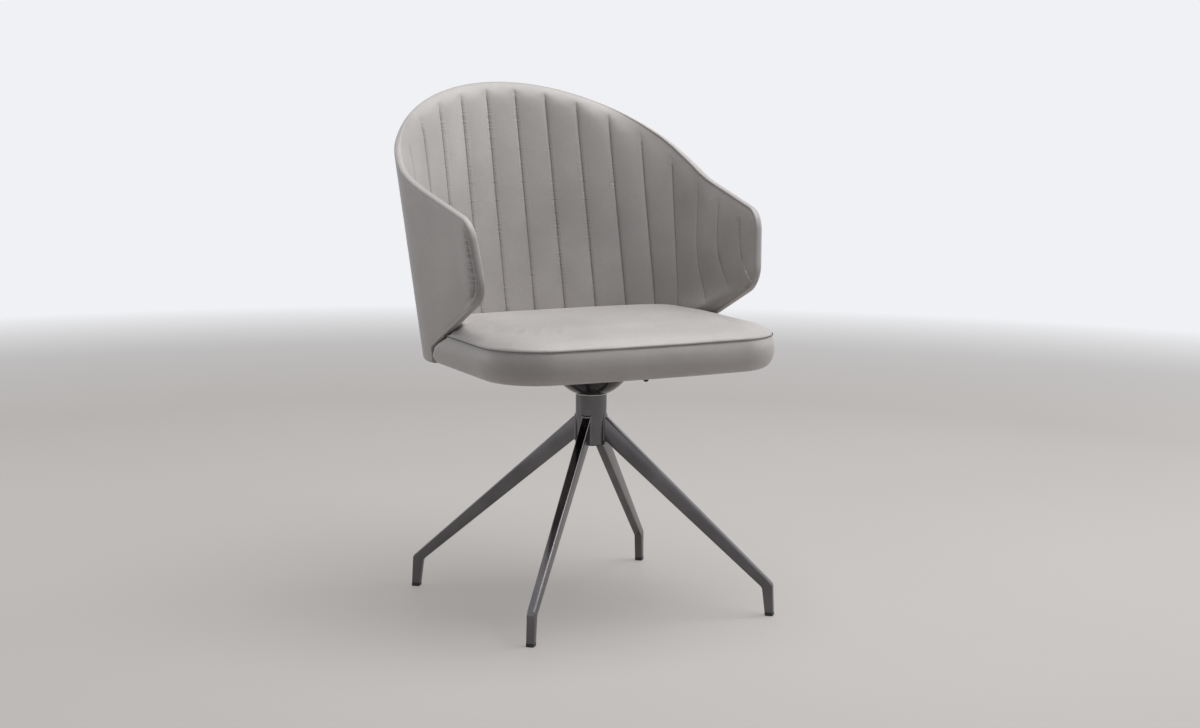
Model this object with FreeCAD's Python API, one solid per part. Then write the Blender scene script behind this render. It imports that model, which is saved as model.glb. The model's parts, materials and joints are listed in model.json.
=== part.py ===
import FreeCAD, Part
import math
import os

from FreeCAD import Matrix, Vector

# Swivel armchair: a wrap-around padded back on a crowned seat cushion, turning on a four-legged metal base.
# Millimetres, +Z up, front towards -Y. The pieces are drawn about the swivel axis and moved at the end,
# so that the origin lies on the floor under the middle of the chair's outline.

# Hub tube
hub_radius = 25.0
hub_wall = 2.2
hub_bottom = 261.0
hub_top = 341.0

# Legs: a folded, tapered box section that drops steeply from the hub to a knee and stands on a short foot
leg_count = 4
first_leg_angle = 45.0
foot_circle_radius = 300.0
leg_top_at_hub = 306.0
leg_bottom_at_hub = 267.0
leg_width_at_hub = 14.0
leg_width_at_foot = 12.5
leg_wall = 1.5
leg_edge_radius = 1.2
knee_outer_in = 2.0
knee_outer_height = 52.0
knee_inner_in = 5.0
knee_inner_height = 45.5
knee_bend_radius = 5.0
foot_depth = 13.5
weld_size = 1.6
weld_reach = 20.0

# Glides: plastic plugs in the open feet
glide_height = 6.0
glide_stem = 14.0
glide_clearance = 0.05
glide_chamfer = 0.8

# Swivel bearing inside the hub
spindle_radius = 12.5
spindle_wall = 4.5
running_clearance = 0.05
seat_clearance = 0.02
bush_length = 22.0
bush_flange = 3.0
bush_bottom_above_hub = 12.0
thrust_washer_thickness = 2.0
collar_radius = 20.0
collar_height = 5.0
stop_washer_thickness = 2.0
stop_washer_clearance = 3.8
end_play = 0.15
circlip_thickness = 1.5
circlip_lip = 3.0
circlip_groove_depth = 1.2
circlip_gap_angle = 70.0
spindle_below_circlip = 2.0
hub_cap_thickness = 1.5
hub_cap_plug = 3.0

# Swivel plate, its ribs and the bowl that covers the bearing
plate_side = 190.0
plate_thickness = 4.0
plate_corner = 18.0
plate_bolt_in = 19.0
rib_thickness = 4.0
rib_end_height = 3.0
rib_inside_bowl = 12.0
bowl_radius = 64.0
bowl_rim_bend = 31.0
bowl_overlap = 4.0
bowl_wall = 2.0
bowl_lip_gap = 0.6

# Plate bolts and tee nuts
bolt_radius = 3.0
bolt_head_radius = 5.5
bolt_head_height = 4.0
bolt_washer_radius = 7.5
bolt_washer_thickness = 1.2
bolt_clearance = 0.3
tee_flange_radius = 9.5
tee_flange_thickness = 1.5
tee_barrel_wall = 1.2
tee_barrel_length = 9.0

# Seat: heights
seat_underside = 391.0
seat_seam = 443.0
crown_rise = 26.5
board_thickness = 12.0
wrap_thickness = 2.0

# Seat: section of the side band and of the crown, as shares of their heights and distances inwards;
# the crown has a second distance for the rear, which the back pad meets
band_shape = [(0.0, 20.0), (0.04, 12.0), (0.12, 6.0), (0.25, 1.5), (0.5, -2.5), (0.78, -2.0), (1.0, 0.5)]
crown_shape = [(0.0, 0.5, 0.0), (0.2, 2.5, 0.5), (0.4, 7.0, 1.5), (0.6, 16.0, 4.0), (0.76, 29.0, 9.0),
               (0.88, 48.0, 22.0), (0.96, 76.0, 46.0), (1.0, 125.0, 78.0)]
crown_corner_share = 0.55

# Seat: plan
seat_wider_front = 8.0
seat_narrower_rear = 1.0
seat_front = 212.0
seat_front_bow = 5.0
seat_corner = 92.0
board_inset = 24.0
wrap_width = 20.0
core_inset = 14.0
dust_cover_thickness = 0.8
dust_cover_rear_in = 2.0
vent_radius = 4.0
vent_drop = 7.0
vent_from_front = 34.0

# Wrap-around back: plan at the reference height, and its growth for each millimetre of height
reference_height = 440.0
back_half_width = 245.0
back_depth = 284.0
back_flatter = 33.0
back_corner_radius = 120.0
flare = 0.11
recline = 0.19
toe_in = math.radians(1.3)

# Wrap-around back: layers from the outside in
cover_thickness = 2.0
ply_thickness = 6.5
pad_depth_low = 26.0
pad_depth_high = 13.0
pad_depth_low_height = 440.0
pad_depth_high_height = 820.0
soft_gap = 0.3
seat_gap = 1.2

# Wrap-around back: outline seen from the side, with the ends of the arms as (y, z)
rim_height = 825.7
rim_top_in = 2.0
rim_bend_from_back = 157.0
rim_bend_height = 684.0
arm_top = (-90.0, 632.5)
arm_bottom = (-112.0, 517.0)
shell_foot_from_back = 196.0
shell_foot_height = 418.5
shell_bottom = 392.0
rim_bend_radius = 400.0
arm_top_corner = 26.0
arm_bottom_corner = 22.0
foot_corner = 10.0
foot_slant = 1.5
ply_edge_inset = 9.0
ply_bottom_inset = 1.0

# Sewn channels of the back pad: distances from the middle along the pad
channel_half_first = 26.9
channel_pitch = 53.6
channels_to_corner = 5
arm_channels = 4
arm_pitch_low = 77.3
arm_pitch_high = 46.0
channel_bulge = 4.0

# Back fixings: screws through the plywood shell into the edge of the seat board
screw_count = 7
screw_spread = 250.0
screw_radius = 2.0
screw_head_radius = 4.0
screw_head_length = 3.0
screw_head_sunk = 1.4
screw_length = 34.0

# Sizes that follow
back_radius = back_half_width + back_flatter
rim_back = (back_depth + recline * (rim_height - reference_height) - rim_top_in, rim_height)
rim_bend = (back_depth - rim_bend_from_back, rim_bend_height)
shell_foot = (back_depth - shell_foot_from_back, shell_foot_height)
seat_half_width = back_half_width + seat_wider_front
seat_half_width_rear = back_half_width - seat_narrower_rear
vent_forward = seat_front - vent_from_front
plate_bolt_offset = plate_side / 2 - plate_bolt_in
rib_reach = bowl_radius - rib_inside_bowl
tee_barrel_radius = bolt_radius + tee_barrel_wall
spindle_bore = spindle_radius - spindle_wall
circlip_radius = spindle_radius + circlip_lip
foot_outer_radius = foot_circle_radius + foot_depth / 2
foot_inner_radius = foot_circle_radius - foot_depth / 2
knee_outer_radius = foot_outer_radius - knee_outer_in
knee_inner_radius = foot_inner_radius - knee_inner_in
board_bottom = seat_underside + wrap_thickness
board_top = board_bottom + board_thickness
plate_top = board_bottom
plate_bottom = plate_top - plate_thickness
bush_flange_top = hub_top + bush_flange
collar_bottom = bush_flange_top + thrust_washer_thickness
collar_top = collar_bottom + collar_height
lower_bush_bottom = hub_bottom + bush_bottom_above_hub
stop_washer_top = lower_bush_bottom - end_play
stop_washer_bottom = stop_washer_top - stop_washer_thickness
circlip_bottom = stop_washer_bottom - circlip_thickness
spindle_bottom = circlip_bottom - spindle_below_circlip
hub_bore = hub_radius - hub_wall
stop_washer_radius = hub_bore - stop_washer_clearance

# Reach of the drawn lofts and cutting blocks past the finished edges
loft_margin = 40.0
block_margin = 65.0
loft_bottom = shell_bottom - loft_margin / 4
loft_top = rim_back[1] + loft_margin
arm_reach = arm_bottom[0] - loft_margin
block_reach = rim_back[0] + block_margin

# Heights of the pad's drawn sections: the arm's seams swing round the corner between them
pad_sections = [loft_bottom, seat_seam + crown_rise, 560.0, 670.0, loft_top]

UP = Vector(0, 0, 1)
AXIS = Vector(0, 0, 0)


nodes = {}


def keep(name, *solids):
    """Keeps one node: a solid, or a group of separate solids."""
    nodes[name] = solids[0] if len(solids) == 1 else Part.makeCompound(solids)


def write_nodes():
    """Moves the chair to its origin and writes each node."""
    boxes = [shape.optimalBoundingBox(False, False) for shape in nodes.values()]
    front = min(box.YMin for box in boxes)
    rear = max(box.YMax for box in boxes)
    middle = (front + rear) / 2
    print(f"swivel axis at y {-middle:.3f}, length {rear - front:.2f}, height {max(box.ZMax for box in boxes):.2f}, "
          f"width {max(box.XMax for box in boxes) - min(box.XMin for box in boxes):.2f}")
    for name, shape in nodes.items():
        shape.translate(Vector(0, -middle, 0))
        assert shape.isValid(), name
        shape.exportStep("parts/" + name + ".step")
        print(f"{name:18s} {len(shape.Solids)} solids, {shape.Volume / 1000:.2f} cm3")


def single(shape):
    """The one solid that a boolean leaves."""
    assert len(shape.Solids) == 1, f"{len(shape.Solids)} solids"
    return shape.Solids[0]


def largest(shape):
    """The main solid that a boolean leaves, without slivers."""
    return max(shape.Solids, key=lambda solid: solid.Volume)


def cylinder(radius, bottom, top, centre=AXIS):
    return Part.makeCylinder(radius, top - bottom, Vector(centre.x, centre.y, bottom), UP)


def tube(outer, inner, bottom, top):
    return cylinder(outer, bottom, top).cut(cylinder(inner, bottom, top))


def slab(bottom, top):
    """A block that covers the whole plan between two heights."""
    side = 2 * block_reach
    return Part.makeBox(side, side, top - bottom, Vector(-block_reach, -block_reach, bottom))


def bottom_edges(solid):
    """The edges round a solid's flat underside."""
    lowest = min(vertex.Z for vertex in solid.Vertexes)
    return [edge for edge in solid.Edges if all(vertex.Z < lowest + 0.01 for vertex in edge.Vertexes)]


def turned(shape, angle):
    copy = shape.copy()
    copy.rotate(AXIS, UP, angle)
    return copy


def closed_outline(points, radii):
    """A closed outline; a radius of zero keeps a sharp corner."""
    count = len(points)
    edges = []
    ends = []
    for i in range(count):
        before, corner, after = points[i - 1], points[i], points[(i + 1) % count]
        if radii[i] == 0:
            ends.append((corner, corner))
            continue
        back = (before - corner).normalize()
        ahead = (after - corner).normalize()
        half = back.getAngle(ahead) / 2
        reach = radii[i] / math.tan(half)
        middle = (back + ahead).normalize()
        crest = corner + middle * (radii[i] / math.sin(half) - radii[i])
        first = corner + back * reach
        last = corner + ahead * reach
        edges.append(Part.Arc(first, crest, last).toShape())
        ends.append((first, last))
    for i in range(count):
        here = ends[i][1]
        there = ends[(i + 1) % count][0]
        if here.distanceToPoint(there) > 1e-6:
            edges.append(Part.makeLine(here, there))
    return Part.Wire(Part.sortEdges(edges)[0])


def offset_polygon(points, distance):
    """Moves each side of a closed counter-clockwise outline inwards; the points are (u, v) pairs."""
    lines = []
    for (u1, v1), (u2, v2) in zip(points, points[1:] + points[:1]):
        length = math.hypot(u2 - u1, v2 - v1)
        normal = (-(v2 - v1) / length, (u2 - u1) / length)
        lines.append((normal[0], normal[1], normal[0] * u1 + normal[1] * v1 + distance))
    moved = []
    for (a1, b1, c1), (a2, b2, c2) in zip([lines[-1]] + lines[:-1], lines):
        determinant = a1 * b2 - a2 * b1
        moved.append(((c1 * b2 - c2 * b1) / determinant, (a1 * c2 - a2 * c1) / determinant))
    return moved


def along(line_start, line_end, u):
    """Height of a straight line at the distance u."""
    share = (u - line_start[0]) / (line_end[0] - line_start[0])
    return line_start[1] + share * (line_end[1] - line_start[1])


# Legs
def leg_form(inset):
    """One leg along +X, past the foot and on into the hub; inset moves every side inwards. The outer corners are
    rounded and the inner ones are left sharp."""
    hub_end = hub_radius / 4
    foot_end = -glide_height
    top_hub = (hub_radius, leg_top_at_hub)
    bottom_hub = (hub_radius, leg_bottom_at_hub)
    knee_outer = (knee_outer_radius, knee_outer_height)
    knee_inner = (knee_inner_radius, knee_inner_height)
    foot_outer = (foot_outer_radius, glide_height)
    foot_inner = (foot_inner_radius, glide_height)
    outline = [
        (hub_end, along(top_hub, knee_outer, hub_end)),
        (hub_end, along(bottom_hub, knee_inner, hub_end)),
        knee_inner,
        (along(knee_inner[::-1], foot_inner[::-1], foot_end), foot_end),
        (along(knee_outer[::-1], foot_outer[::-1], foot_end), foot_end),
        knee_outer,
    ]
    outline = offset_polygon(outline, inset)
    bends = [0, 0, knee_bend_radius + inset, 0, 0, knee_bend_radius + foot_depth / 2 - inset]
    side = Part.Face(closed_outline([Vector(u, 0, v) for u, v in outline], bends))
    side.translate(Vector(0, -leg_width_at_hub, 0))
    blank = side.extrude(Vector(0, 2 * leg_width_at_hub, 0))
    taper = (leg_width_at_hub - leg_width_at_foot) / 2 / (foot_circle_radius - hub_radius)
    half_start = leg_width_at_hub / 2 - inset + taper * hub_radius
    reach = foot_circle_radius + 2 * foot_depth
    half_end = half_start - taper * reach
    plan = [Vector(0, -half_start, 0), Vector(reach, -half_end, 0), Vector(reach, half_end, 0),
            Vector(0, half_start, 0)]
    tapered = Part.Face(Part.makePolygon(plan + plan[:1]))
    tapered.translate(Vector(0, 0, 2 * foot_end))
    form = single(blank.common(tapered.extrude(Vector(0, 0, 2 * leg_top_at_hub))))
    if inset > 0:
        return form
    corners = [edge for edge in form.Edges if runs_along_leg(edge, hub_end, foot_end)]
    return single(form.makeFillet(leg_edge_radius, corners))


def runs_along_leg(edge, hub_end, foot_end):
    """True for the long corners of the box section, without the two ends and the edges across."""
    box = edge.BoundBox
    at_hub = box.XMax < hub_end + 0.01
    at_foot = box.ZMax < foot_end + 0.01
    across = box.YMin < 0 < box.YMax
    return not (at_hub or at_foot or across)


def build_legs():
    outside = leg_form(0.0)
    inside = leg_form(leg_wall)
    hub_core = cylinder(hub_radius, 0, hub_top)
    above_glide = slab(glide_height, 2 * hub_top)
    leg = single(outside.cut(inside).cut(hub_core).common(above_glide))
    weld_ring = tube(hub_radius + weld_size, hub_radius, leg_bottom_at_hub - weld_reach, leg_top_at_hub + weld_reach)
    weld = largest(leg_form(-weld_size).common(weld_ring).cut(outside))
    sole = single(outside.common(slab(0, glide_height)))
    sole = sole.makeChamfer(glide_chamfer, bottom_edges(sole))
    stem = leg_form(leg_wall + glide_clearance).common(slab(glide_height, glide_height + glide_stem))
    glide = single(sole.fuse(stem).removeSplitter())
    names = ["back_right", "back_left", "front_left", "front_right"]
    welds = []
    for i in range(leg_count):
        angle = first_leg_angle + i * 360 / leg_count
        place = names[i] if leg_count == len(names) else str(i + 1)
        keep("leg_" + place, turned(leg, angle))
        keep("glide_" + place, turned(glide, angle))
        welds.append(turned(weld, angle))
    keep("leg_welds", *welds)


# Hub and swivel bearing
def build_hub():
    hub = tube(hub_radius, hub_bore, hub_bottom, hub_top)
    keep("hub_tube", hub)
    cap = cylinder(hub_radius, hub_bottom - hub_cap_thickness, hub_bottom)
    cap = cap.makeChamfer(hub_cap_thickness * 0.6, bottom_edges(cap))
    plug = tube(hub_bore - glide_clearance, hub_bore - hub_wall, hub_bottom, hub_bottom + hub_cap_plug)
    keep("hub_cap", single(cap.fuse(plug).removeSplitter()))


def build_bearing():
    bore = spindle_radius + running_clearance
    seat = hub_bore - seat_clearance
    keep("lower_bush", tube(seat, bore, lower_bush_bottom, lower_bush_bottom + bush_length))
    sleeve = tube(seat, bore, hub_top - bush_length, hub_top)
    flange = tube(hub_radius, bore, hub_top, bush_flange_top)
    keep("upper_bush", single(sleeve.fuse(flange).removeSplitter()))
    keep("thrust_washer", tube(collar_radius, bore, bush_flange_top, collar_bottom))
    rod = cylinder(spindle_radius, spindle_bottom, plate_bottom)
    collar = cylinder(collar_radius, collar_bottom, collar_top)
    groove = tube(spindle_radius + 1, spindle_radius - circlip_groove_depth, circlip_bottom, stop_washer_bottom)
    hollow = cylinder(spindle_bore, spindle_bottom, plate_bottom)
    keep("spindle", single(rod.fuse(collar).cut(groove).cut(hollow).removeSplitter()))
    keep("stop_washer", tube(stop_washer_radius, bore, stop_washer_bottom, stop_washer_top))
    ring = tube(circlip_radius, spindle_radius - circlip_groove_depth, circlip_bottom, stop_washer_bottom)
    half = math.radians(circlip_gap_angle / 2)
    reach = circlip_radius * 2
    mouth = [Vector(0, 0, circlip_bottom), Vector(reach * math.cos(half), reach * math.sin(half), circlip_bottom),
             Vector(reach * math.cos(half), -reach * math.sin(half), circlip_bottom)]
    wedge = Part.Face(Part.makePolygon(mouth + mouth[:1])).extrude(Vector(0, 0, circlip_thickness))
    keep("circlip", single(ring.cut(wedge)))


def build_plate():
    half = plate_side / 2
    corners = [Vector(-half, -half, plate_bottom), Vector(half, -half, plate_bottom),
               Vector(half, half, plate_bottom), Vector(-half, half, plate_bottom)]
    plate = Part.Face(closed_outline(corners, [plate_corner] * 4)).extrude(Vector(0, 0, plate_thickness))
    for centre in bolt_centres():
        plate = plate.cut(cylinder(bolt_radius + bolt_clearance, plate_bottom, plate_top, centre))
    plate = plate.cut(cylinder(spindle_bore, plate_bottom, plate_top))
    keep("swivel_plate", single(plate))
    ribs = []
    rib_side = [Vector(spindle_radius, 0, collar_top), Vector(collar_radius, 0, collar_top),
                Vector(rib_reach, 0, plate_bottom - rib_end_height), Vector(rib_reach, 0, plate_bottom),
                Vector(spindle_radius, 0, plate_bottom)]
    rib = Part.Face(Part.makePolygon(rib_side + rib_side[:1])).extrude(Vector(0, rib_thickness, 0))
    rib.translate(Vector(0, -rib_thickness / 2, 0))
    rib = single(rib.cut(cylinder(spindle_radius, collar_top, plate_bottom)))
    for i in range(4):
        ribs.append(turned(rib, i * 90))
    keep("spindle_ribs", *ribs)


def bowl_side(wall):
    """One side of the bowl's profile, inside the outer one by wall: the rim's bend, then a ball-shaped bottom."""
    depth = plate_bottom - hub_top + bowl_overlap
    bend_out = bowl_radius - bowl_rim_bend
    ball_radius = (bend_out ** 2 + depth ** 2 - bowl_rim_bend ** 2) / (2 * (depth - bowl_rim_bend))
    bend_centre = Vector(bend_out, 0, plate_bottom)
    ball_centre = Vector(0, 0, plate_bottom - depth + ball_radius)
    bend = bowl_rim_bend - wall
    ball = ball_radius - wall
    lip = hub_radius + bowl_lip_gap
    rim = Vector(bend_out + bend, 0, plate_bottom)
    out = (bend_centre - ball_centre).normalize()
    meet = ball_centre + out * ball
    end = ball_centre + Vector(lip, 0, -math.sqrt(ball ** 2 - lip ** 2))
    bend_middle = bend_centre + (out + Vector(1, 0, 0)).normalize() * bend
    ball_middle = ball_centre + (out + (end - ball_centre).normalize()).normalize() * ball
    return rim, end, [Part.Arc(rim, bend_middle, meet).toShape(), Part.Arc(meet, ball_middle, end).toShape()]


def build_bowl():
    """A black bowl under the plate that narrows to the hub tube."""
    outer_rim, outer_end, outer = bowl_side(0.0)
    inner_rim, inner_end, inner = bowl_side(bowl_wall)
    edges = outer + inner + [Part.makeLine(outer_end, inner_end), Part.makeLine(inner_rim, outer_rim)]
    face = Part.Face(Part.Wire(Part.sortEdges(edges)[0]))
    keep("swivel_cover", single(face.revolve(AXIS, UP, 360)))


def bolt_centres():
    return [Vector(sx * plate_bolt_offset, sy * plate_bolt_offset, 0) for sx in (-1, 1) for sy in (-1, 1)]


def build_plate_bolts():
    bolts = []
    nuts = []
    head_bottom = plate_bottom - bolt_washer_thickness - bolt_head_height
    shank_top = board_top - tee_flange_thickness
    for centre in bolt_centres():
        corners = [centre + Vector(bolt_head_radius * math.cos(math.radians(60 * i)),
                                   bolt_head_radius * math.sin(math.radians(60 * i)), head_bottom) for i in range(6)]
        head = Part.Face(Part.makePolygon(corners + corners[:1])).extrude(Vector(0, 0, bolt_head_height))
        washer = cylinder(bolt_washer_radius, head_bottom + bolt_head_height, plate_bottom, centre)
        shank = cylinder(bolt_radius, plate_bottom, shank_top, centre)
        bolts.append(single(head.fuse([washer, shank]).removeSplitter()))
        flange = cylinder(tee_flange_radius, shank_top, board_top, centre)
        barrel = cylinder(tee_barrel_radius, shank_top - tee_barrel_length, shank_top, centre)
        hole = cylinder(bolt_radius, board_bottom, shank_top, centre)
        nuts.append(single(flange.fuse(barrel).cut(hole).removeSplitter()))
    keep("plate_bolts", *bolts)
    keep("tee_nuts", *nuts)


# Plan of the wrap-around back
def back_plan(height, depth_in):
    """Radii, centres and angles of the back's plan at one height, on the surface depth_in inside the outer one."""
    rise = height - reference_height
    half_width = back_half_width + flare * rise
    depth = back_depth + recline * rise
    radius = back_radius + flare * rise
    corner = back_corner_radius + flare * rise
    back_centre = depth - radius
    side_step = half_width - corner
    corner_centre = back_centre + math.sqrt((radius - corner) ** 2 - side_step ** 2)
    meet = math.atan2(side_step, corner_centre - back_centre)
    end = math.pi / 2 + toe_in
    return {"radius": radius - depth_in, "corner": corner - depth_in, "back_centre": Vector(0, back_centre, height),
            "corner_centre": Vector(side_step, corner_centre, height), "meet": meet, "end": end}


def heading(angle):
    return Vector(math.sin(angle), math.cos(angle), 0)


def back_point(plan, distance):
    """The point on the right half of the plan at a distance along it from the middle of the back."""
    first = plan["radius"] * plan["meet"]
    second = plan["corner"] * (plan["end"] - plan["meet"])
    if distance <= first:
        return plan["back_centre"] + heading(distance / plan["radius"]) * plan["radius"]
    if distance <= first + second:
        angle = plan["meet"] + (distance - first) / plan["corner"]
        return plan["corner_centre"] + heading(angle) * plan["corner"]
    start = plan["corner_centre"] + heading(plan["end"]) * plan["corner"]
    return start + heading(plan["end"] + math.pi / 2) * (distance - first - second)


def arm_point(plan, y):
    """The point of the straight arm at the given y."""
    start = plan["corner_centre"] + heading(plan["end"]) * plan["corner"]
    run = heading(plan["end"] + math.pi / 2)
    return start + run * ((y - start.y) / run.y)


def mirrored(point):
    return Vector(-point.x, point.y, point.z)


def plan_edges(plan, y_end):
    """The plan from the right arm round the back to the left arm: line, arc, arc, arc, line."""
    start = arm_point(plan, y_end)
    tangent = plan["corner_centre"] + heading(plan["end"]) * plan["corner"]
    halfway = plan["corner_centre"] + heading((plan["end"] + plan["meet"]) / 2) * plan["corner"]
    meet = plan["corner_centre"] + heading(plan["meet"]) * plan["corner"]
    middle = plan["back_centre"] + heading(0) * plan["radius"]
    return [
        Part.makeLine(start, tangent),
        Part.Arc(tangent, halfway, meet).toShape(),
        Part.Arc(meet, middle, mirrored(meet)).toShape(),
        Part.Arc(mirrored(meet), mirrored(halfway), mirrored(tangent)).toShape(),
        Part.makeLine(mirrored(tangent), mirrored(start)),
    ]


def pad_depth(height):
    """Depth of the pad's inner face at the seams, which thins towards the rim."""
    share = (height - pad_depth_low_height) / (pad_depth_high_height - pad_depth_low_height)
    return pad_depth_low + share * (pad_depth_high - pad_depth_low)


def seam_distances(height):
    """Distances of the sewn seams from the middle of the back along the pad at one height."""
    share = (height - pad_depth_low_height) / (pad_depth_high_height - pad_depth_low_height)
    arm_pitch = arm_pitch_low + share * (arm_pitch_high - arm_pitch_low)
    distances = [channel_half_first + channel_pitch * i for i in range(channels_to_corner)]
    corner = distances[-1]
    return distances + [corner + arm_pitch * (i + 1) for i in range(arm_channels)]


def shell_layer(outer_depth, inner_depth):
    """A wall of even thickness round the back and arms, before its outline is cut."""
    wires = []
    for height in (loft_bottom, loft_top):
        outer = plan_edges(back_plan(height, outer_depth), arm_reach)
        inner = plan_edges(back_plan(height, inner_depth), arm_reach)
        wires.append(closed_ring(outer, inner))
    return Part.makeLoft(wires, True, True)


def closed_ring(outer, inner):
    """Joins an outer and an inner run of edges, both from right to left, into one closed wire."""
    first = outer[0].firstVertex(True).Point
    last = outer[-1].lastVertex(True).Point
    inner_first = inner[0].firstVertex(True).Point
    inner_last = inner[-1].lastVertex(True).Point
    edges = list(outer) + [Part.makeLine(last, inner_last)] + list(inner) + [Part.makeLine(inner_first, first)]
    return Part.Wire(Part.sortEdges(edges)[0])


def channelled_inner(height):
    """The pad's inner face at one height: an arc between every two seams."""
    depth = pad_depth(height)
    valley = back_plan(height, depth)
    crest = back_plan(height, depth + channel_bulge)
    seams = seam_distances(height)
    half = [back_point(valley, distance) for distance in seams]
    end = arm_point(valley, arm_reach)
    points = [end] + half[::-1] + [mirrored(point) for point in half] + [mirrored(end)]
    crests = [arm_point(crest, (end.y + half[-1].y) / 2)]
    for near, far in zip(seams[-2::-1], seams[:0:-1]):
        crests.append(back_point(crest, crest_distance(valley, crest, (near + far) / 2)))
    middle = back_point(crest, 0)
    crests = crests + [middle] + [mirrored(point) for point in crests[::-1]]
    return [Part.Arc(a, m, b).toShape() for a, m, b in zip(points, crests, points[1:])]


def crest_distance(valley, crest, distance):
    """The distance along the inner curve that faces the given distance along the outer one."""
    first = valley["radius"] * valley["meet"]
    second = valley["corner"] * (valley["end"] - valley["meet"])
    if distance <= first:
        return distance * crest["radius"] / valley["radius"]
    if distance <= first + second:
        return crest["radius"] * crest["meet"] + (distance - first) * crest["corner"] / valley["corner"]
    return (crest["radius"] * crest["meet"] + crest["corner"] * (crest["end"] - crest["meet"])
            + distance - first - second)


def side_outline(edge_inset, bottom_inset):
    """The back's outline seen from the side, as a block across the whole width."""
    slope = (rim_back[1] - rim_bend[1]) / (rim_back[0] - rim_bend[0])
    rear_high = (block_reach, rim_back[1] + slope * (block_reach - rim_back[0]))
    low_front = (shell_foot[0] + foot_slant, shell_bottom)
    outline = [rear_high, rim_bend, arm_top, arm_bottom, shell_foot, low_front, (block_reach, shell_bottom)]
    outline = offset_polygon(outline, edge_inset)
    bottom = shell_bottom + bottom_inset
    outline[-2] = (along(outline[4][::-1], outline[5][::-1], bottom), bottom)
    outline[-1] = (block_reach, bottom)
    corners = [0, rim_bend_radius + edge_inset, arm_top_corner - edge_inset, arm_bottom_corner - edge_inset,
               foot_corner - edge_inset, 0, 0]
    corners = [max(radius, 0) for radius in corners]
    face = Part.Face(closed_outline([Vector(-block_reach, y, z) for y, z in outline], corners))
    return face.extrude(Vector(2 * block_reach, 0, 0))


def build_back():
    outline = side_outline(0.0, 0.0)
    cover = single(shell_layer(0.0, cover_thickness).common(outline))
    ply_inner = cover_thickness + ply_thickness
    ply = largest(shell_layer(cover_thickness, ply_inner).common(side_outline(ply_edge_inset, ply_bottom_inset)))
    wires = []
    for height in pad_sections:
        outer = plan_edges(back_plan(height, cover_thickness), arm_reach)
        wires.append(closed_ring(outer, channelled_inner(height)))
    pad = Part.makeLoft(wires, True, True)
    pad = pad.common(outline).cut(ply).cut(slab(loft_bottom - 1, board_top + soft_gap))
    pad = largest(pad)
    screws, holes = back_screws()
    for hole in holes:
        ply = ply.cut(hole)
    keep("back_cover", cover)
    keep("back_shell", single(ply))
    keep("back_pad", pad)
    keep("back_screws", *screws)


def back_screws():
    """Countersunk screws that point inwards, square to the shell, at half the board's thickness, and their holes."""
    height = (board_bottom + board_top) / 2
    plan = back_plan(height, cover_thickness)
    screws = []
    holes = []
    for i in range(screw_count):
        distance = screw_spread * (2 * i / (screw_count - 1) - 1)
        point = back_point(plan, abs(distance))
        run = (back_point(plan, abs(distance) + 1.0) - point).normalize()
        inward = Vector(run.y, -run.x, 0)
        if distance < 0:
            point = mirrored(point)
            inward = mirrored(inward)
        seat = point + inward * screw_head_sunk
        head = Part.makeCone(screw_head_radius, screw_radius, screw_head_length, seat, inward)
        shank = Part.makeCylinder(screw_radius, screw_length, seat, inward)
        screws.append(single(head.fuse(shank).removeSplitter()))
        recess = Part.makeCylinder(screw_head_radius, ply_thickness, seat - inward * ply_thickness, inward)
        holes.append(single(screws[-1].fuse(recess).removeSplitter()))
    return screws, holes


# Seat
def seat_section(height, side_in, rear_depth, corner):
    """Plan of the seat at one height: straight front, round corners, tapering sides, and a rear inside the back."""
    side_front = seat_half_width - side_in
    side_rear = seat_half_width_rear - side_in
    front = -seat_front + side_in
    shoulder = front + seat_front_bow
    plan = back_plan(height, rear_depth)
    tangent = plan["corner_centre"] + heading(plan["end"]) * plan["corner"]
    halfway = plan["corner_centre"] + heading((plan["end"] + plan["meet"]) / 2) * plan["corner"]
    meet = plan["corner_centre"] + heading(plan["meet"]) * plan["corner"]
    middle = plan["back_centre"] + heading(0) * plan["radius"]
    front_end = Vector(side_front - corner, shoulder, height)
    side_start = Vector(side_front, shoulder + corner, height)
    turn = corner * (1 - math.sqrt(0.5))
    crest = Vector(side_front - turn, shoulder + turn, height)
    side_end = Vector(side_rear, shell_foot[0] - soft_gap, height)
    right = [
        Part.Arc(front_end, crest, side_start).toShape(),
        Part.makeLine(side_start, side_end),
        Part.makeLine(side_end, tangent),
        Part.Arc(tangent, halfway, meet).toShape(),
    ]
    left = [
        Part.Arc(mirrored(meet), mirrored(halfway), mirrored(tangent)).toShape(),
        Part.makeLine(mirrored(tangent), mirrored(side_end)),
        Part.makeLine(mirrored(side_end), mirrored(side_start)),
        Part.Arc(mirrored(side_start), mirrored(crest), mirrored(front_end)).toShape(),
    ]
    back = Part.Arc(meet, middle, mirrored(meet)).toShape()
    front_edge = Part.Arc(mirrored(front_end), Vector(0, front, height), front_end).toShape()
    return Part.Wire([front_edge] + right + [back] + left)


def seat_block(bottom, top, inset, rear_depth):
    """A straight-sided block of the seat's plan."""
    wire = seat_section(bottom, inset, rear_depth, seat_corner - inset)
    return Part.Face(wire).extrude(Vector(0, 0, top - bottom))


def band_loft():
    """The side of the cushion: rolled under at the bottom, slightly full in the middle, drawn in at the seam."""
    rear = pad_depth(seat_seam) + channel_bulge + seat_gap
    wires = []
    for share, inset in band_shape:
        height = seat_underside + share * (seat_seam - seat_underside)
        wires.append(seat_section(height, inset, rear, seat_corner - inset))
    return Part.makeLoft(wires, True, True)


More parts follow.
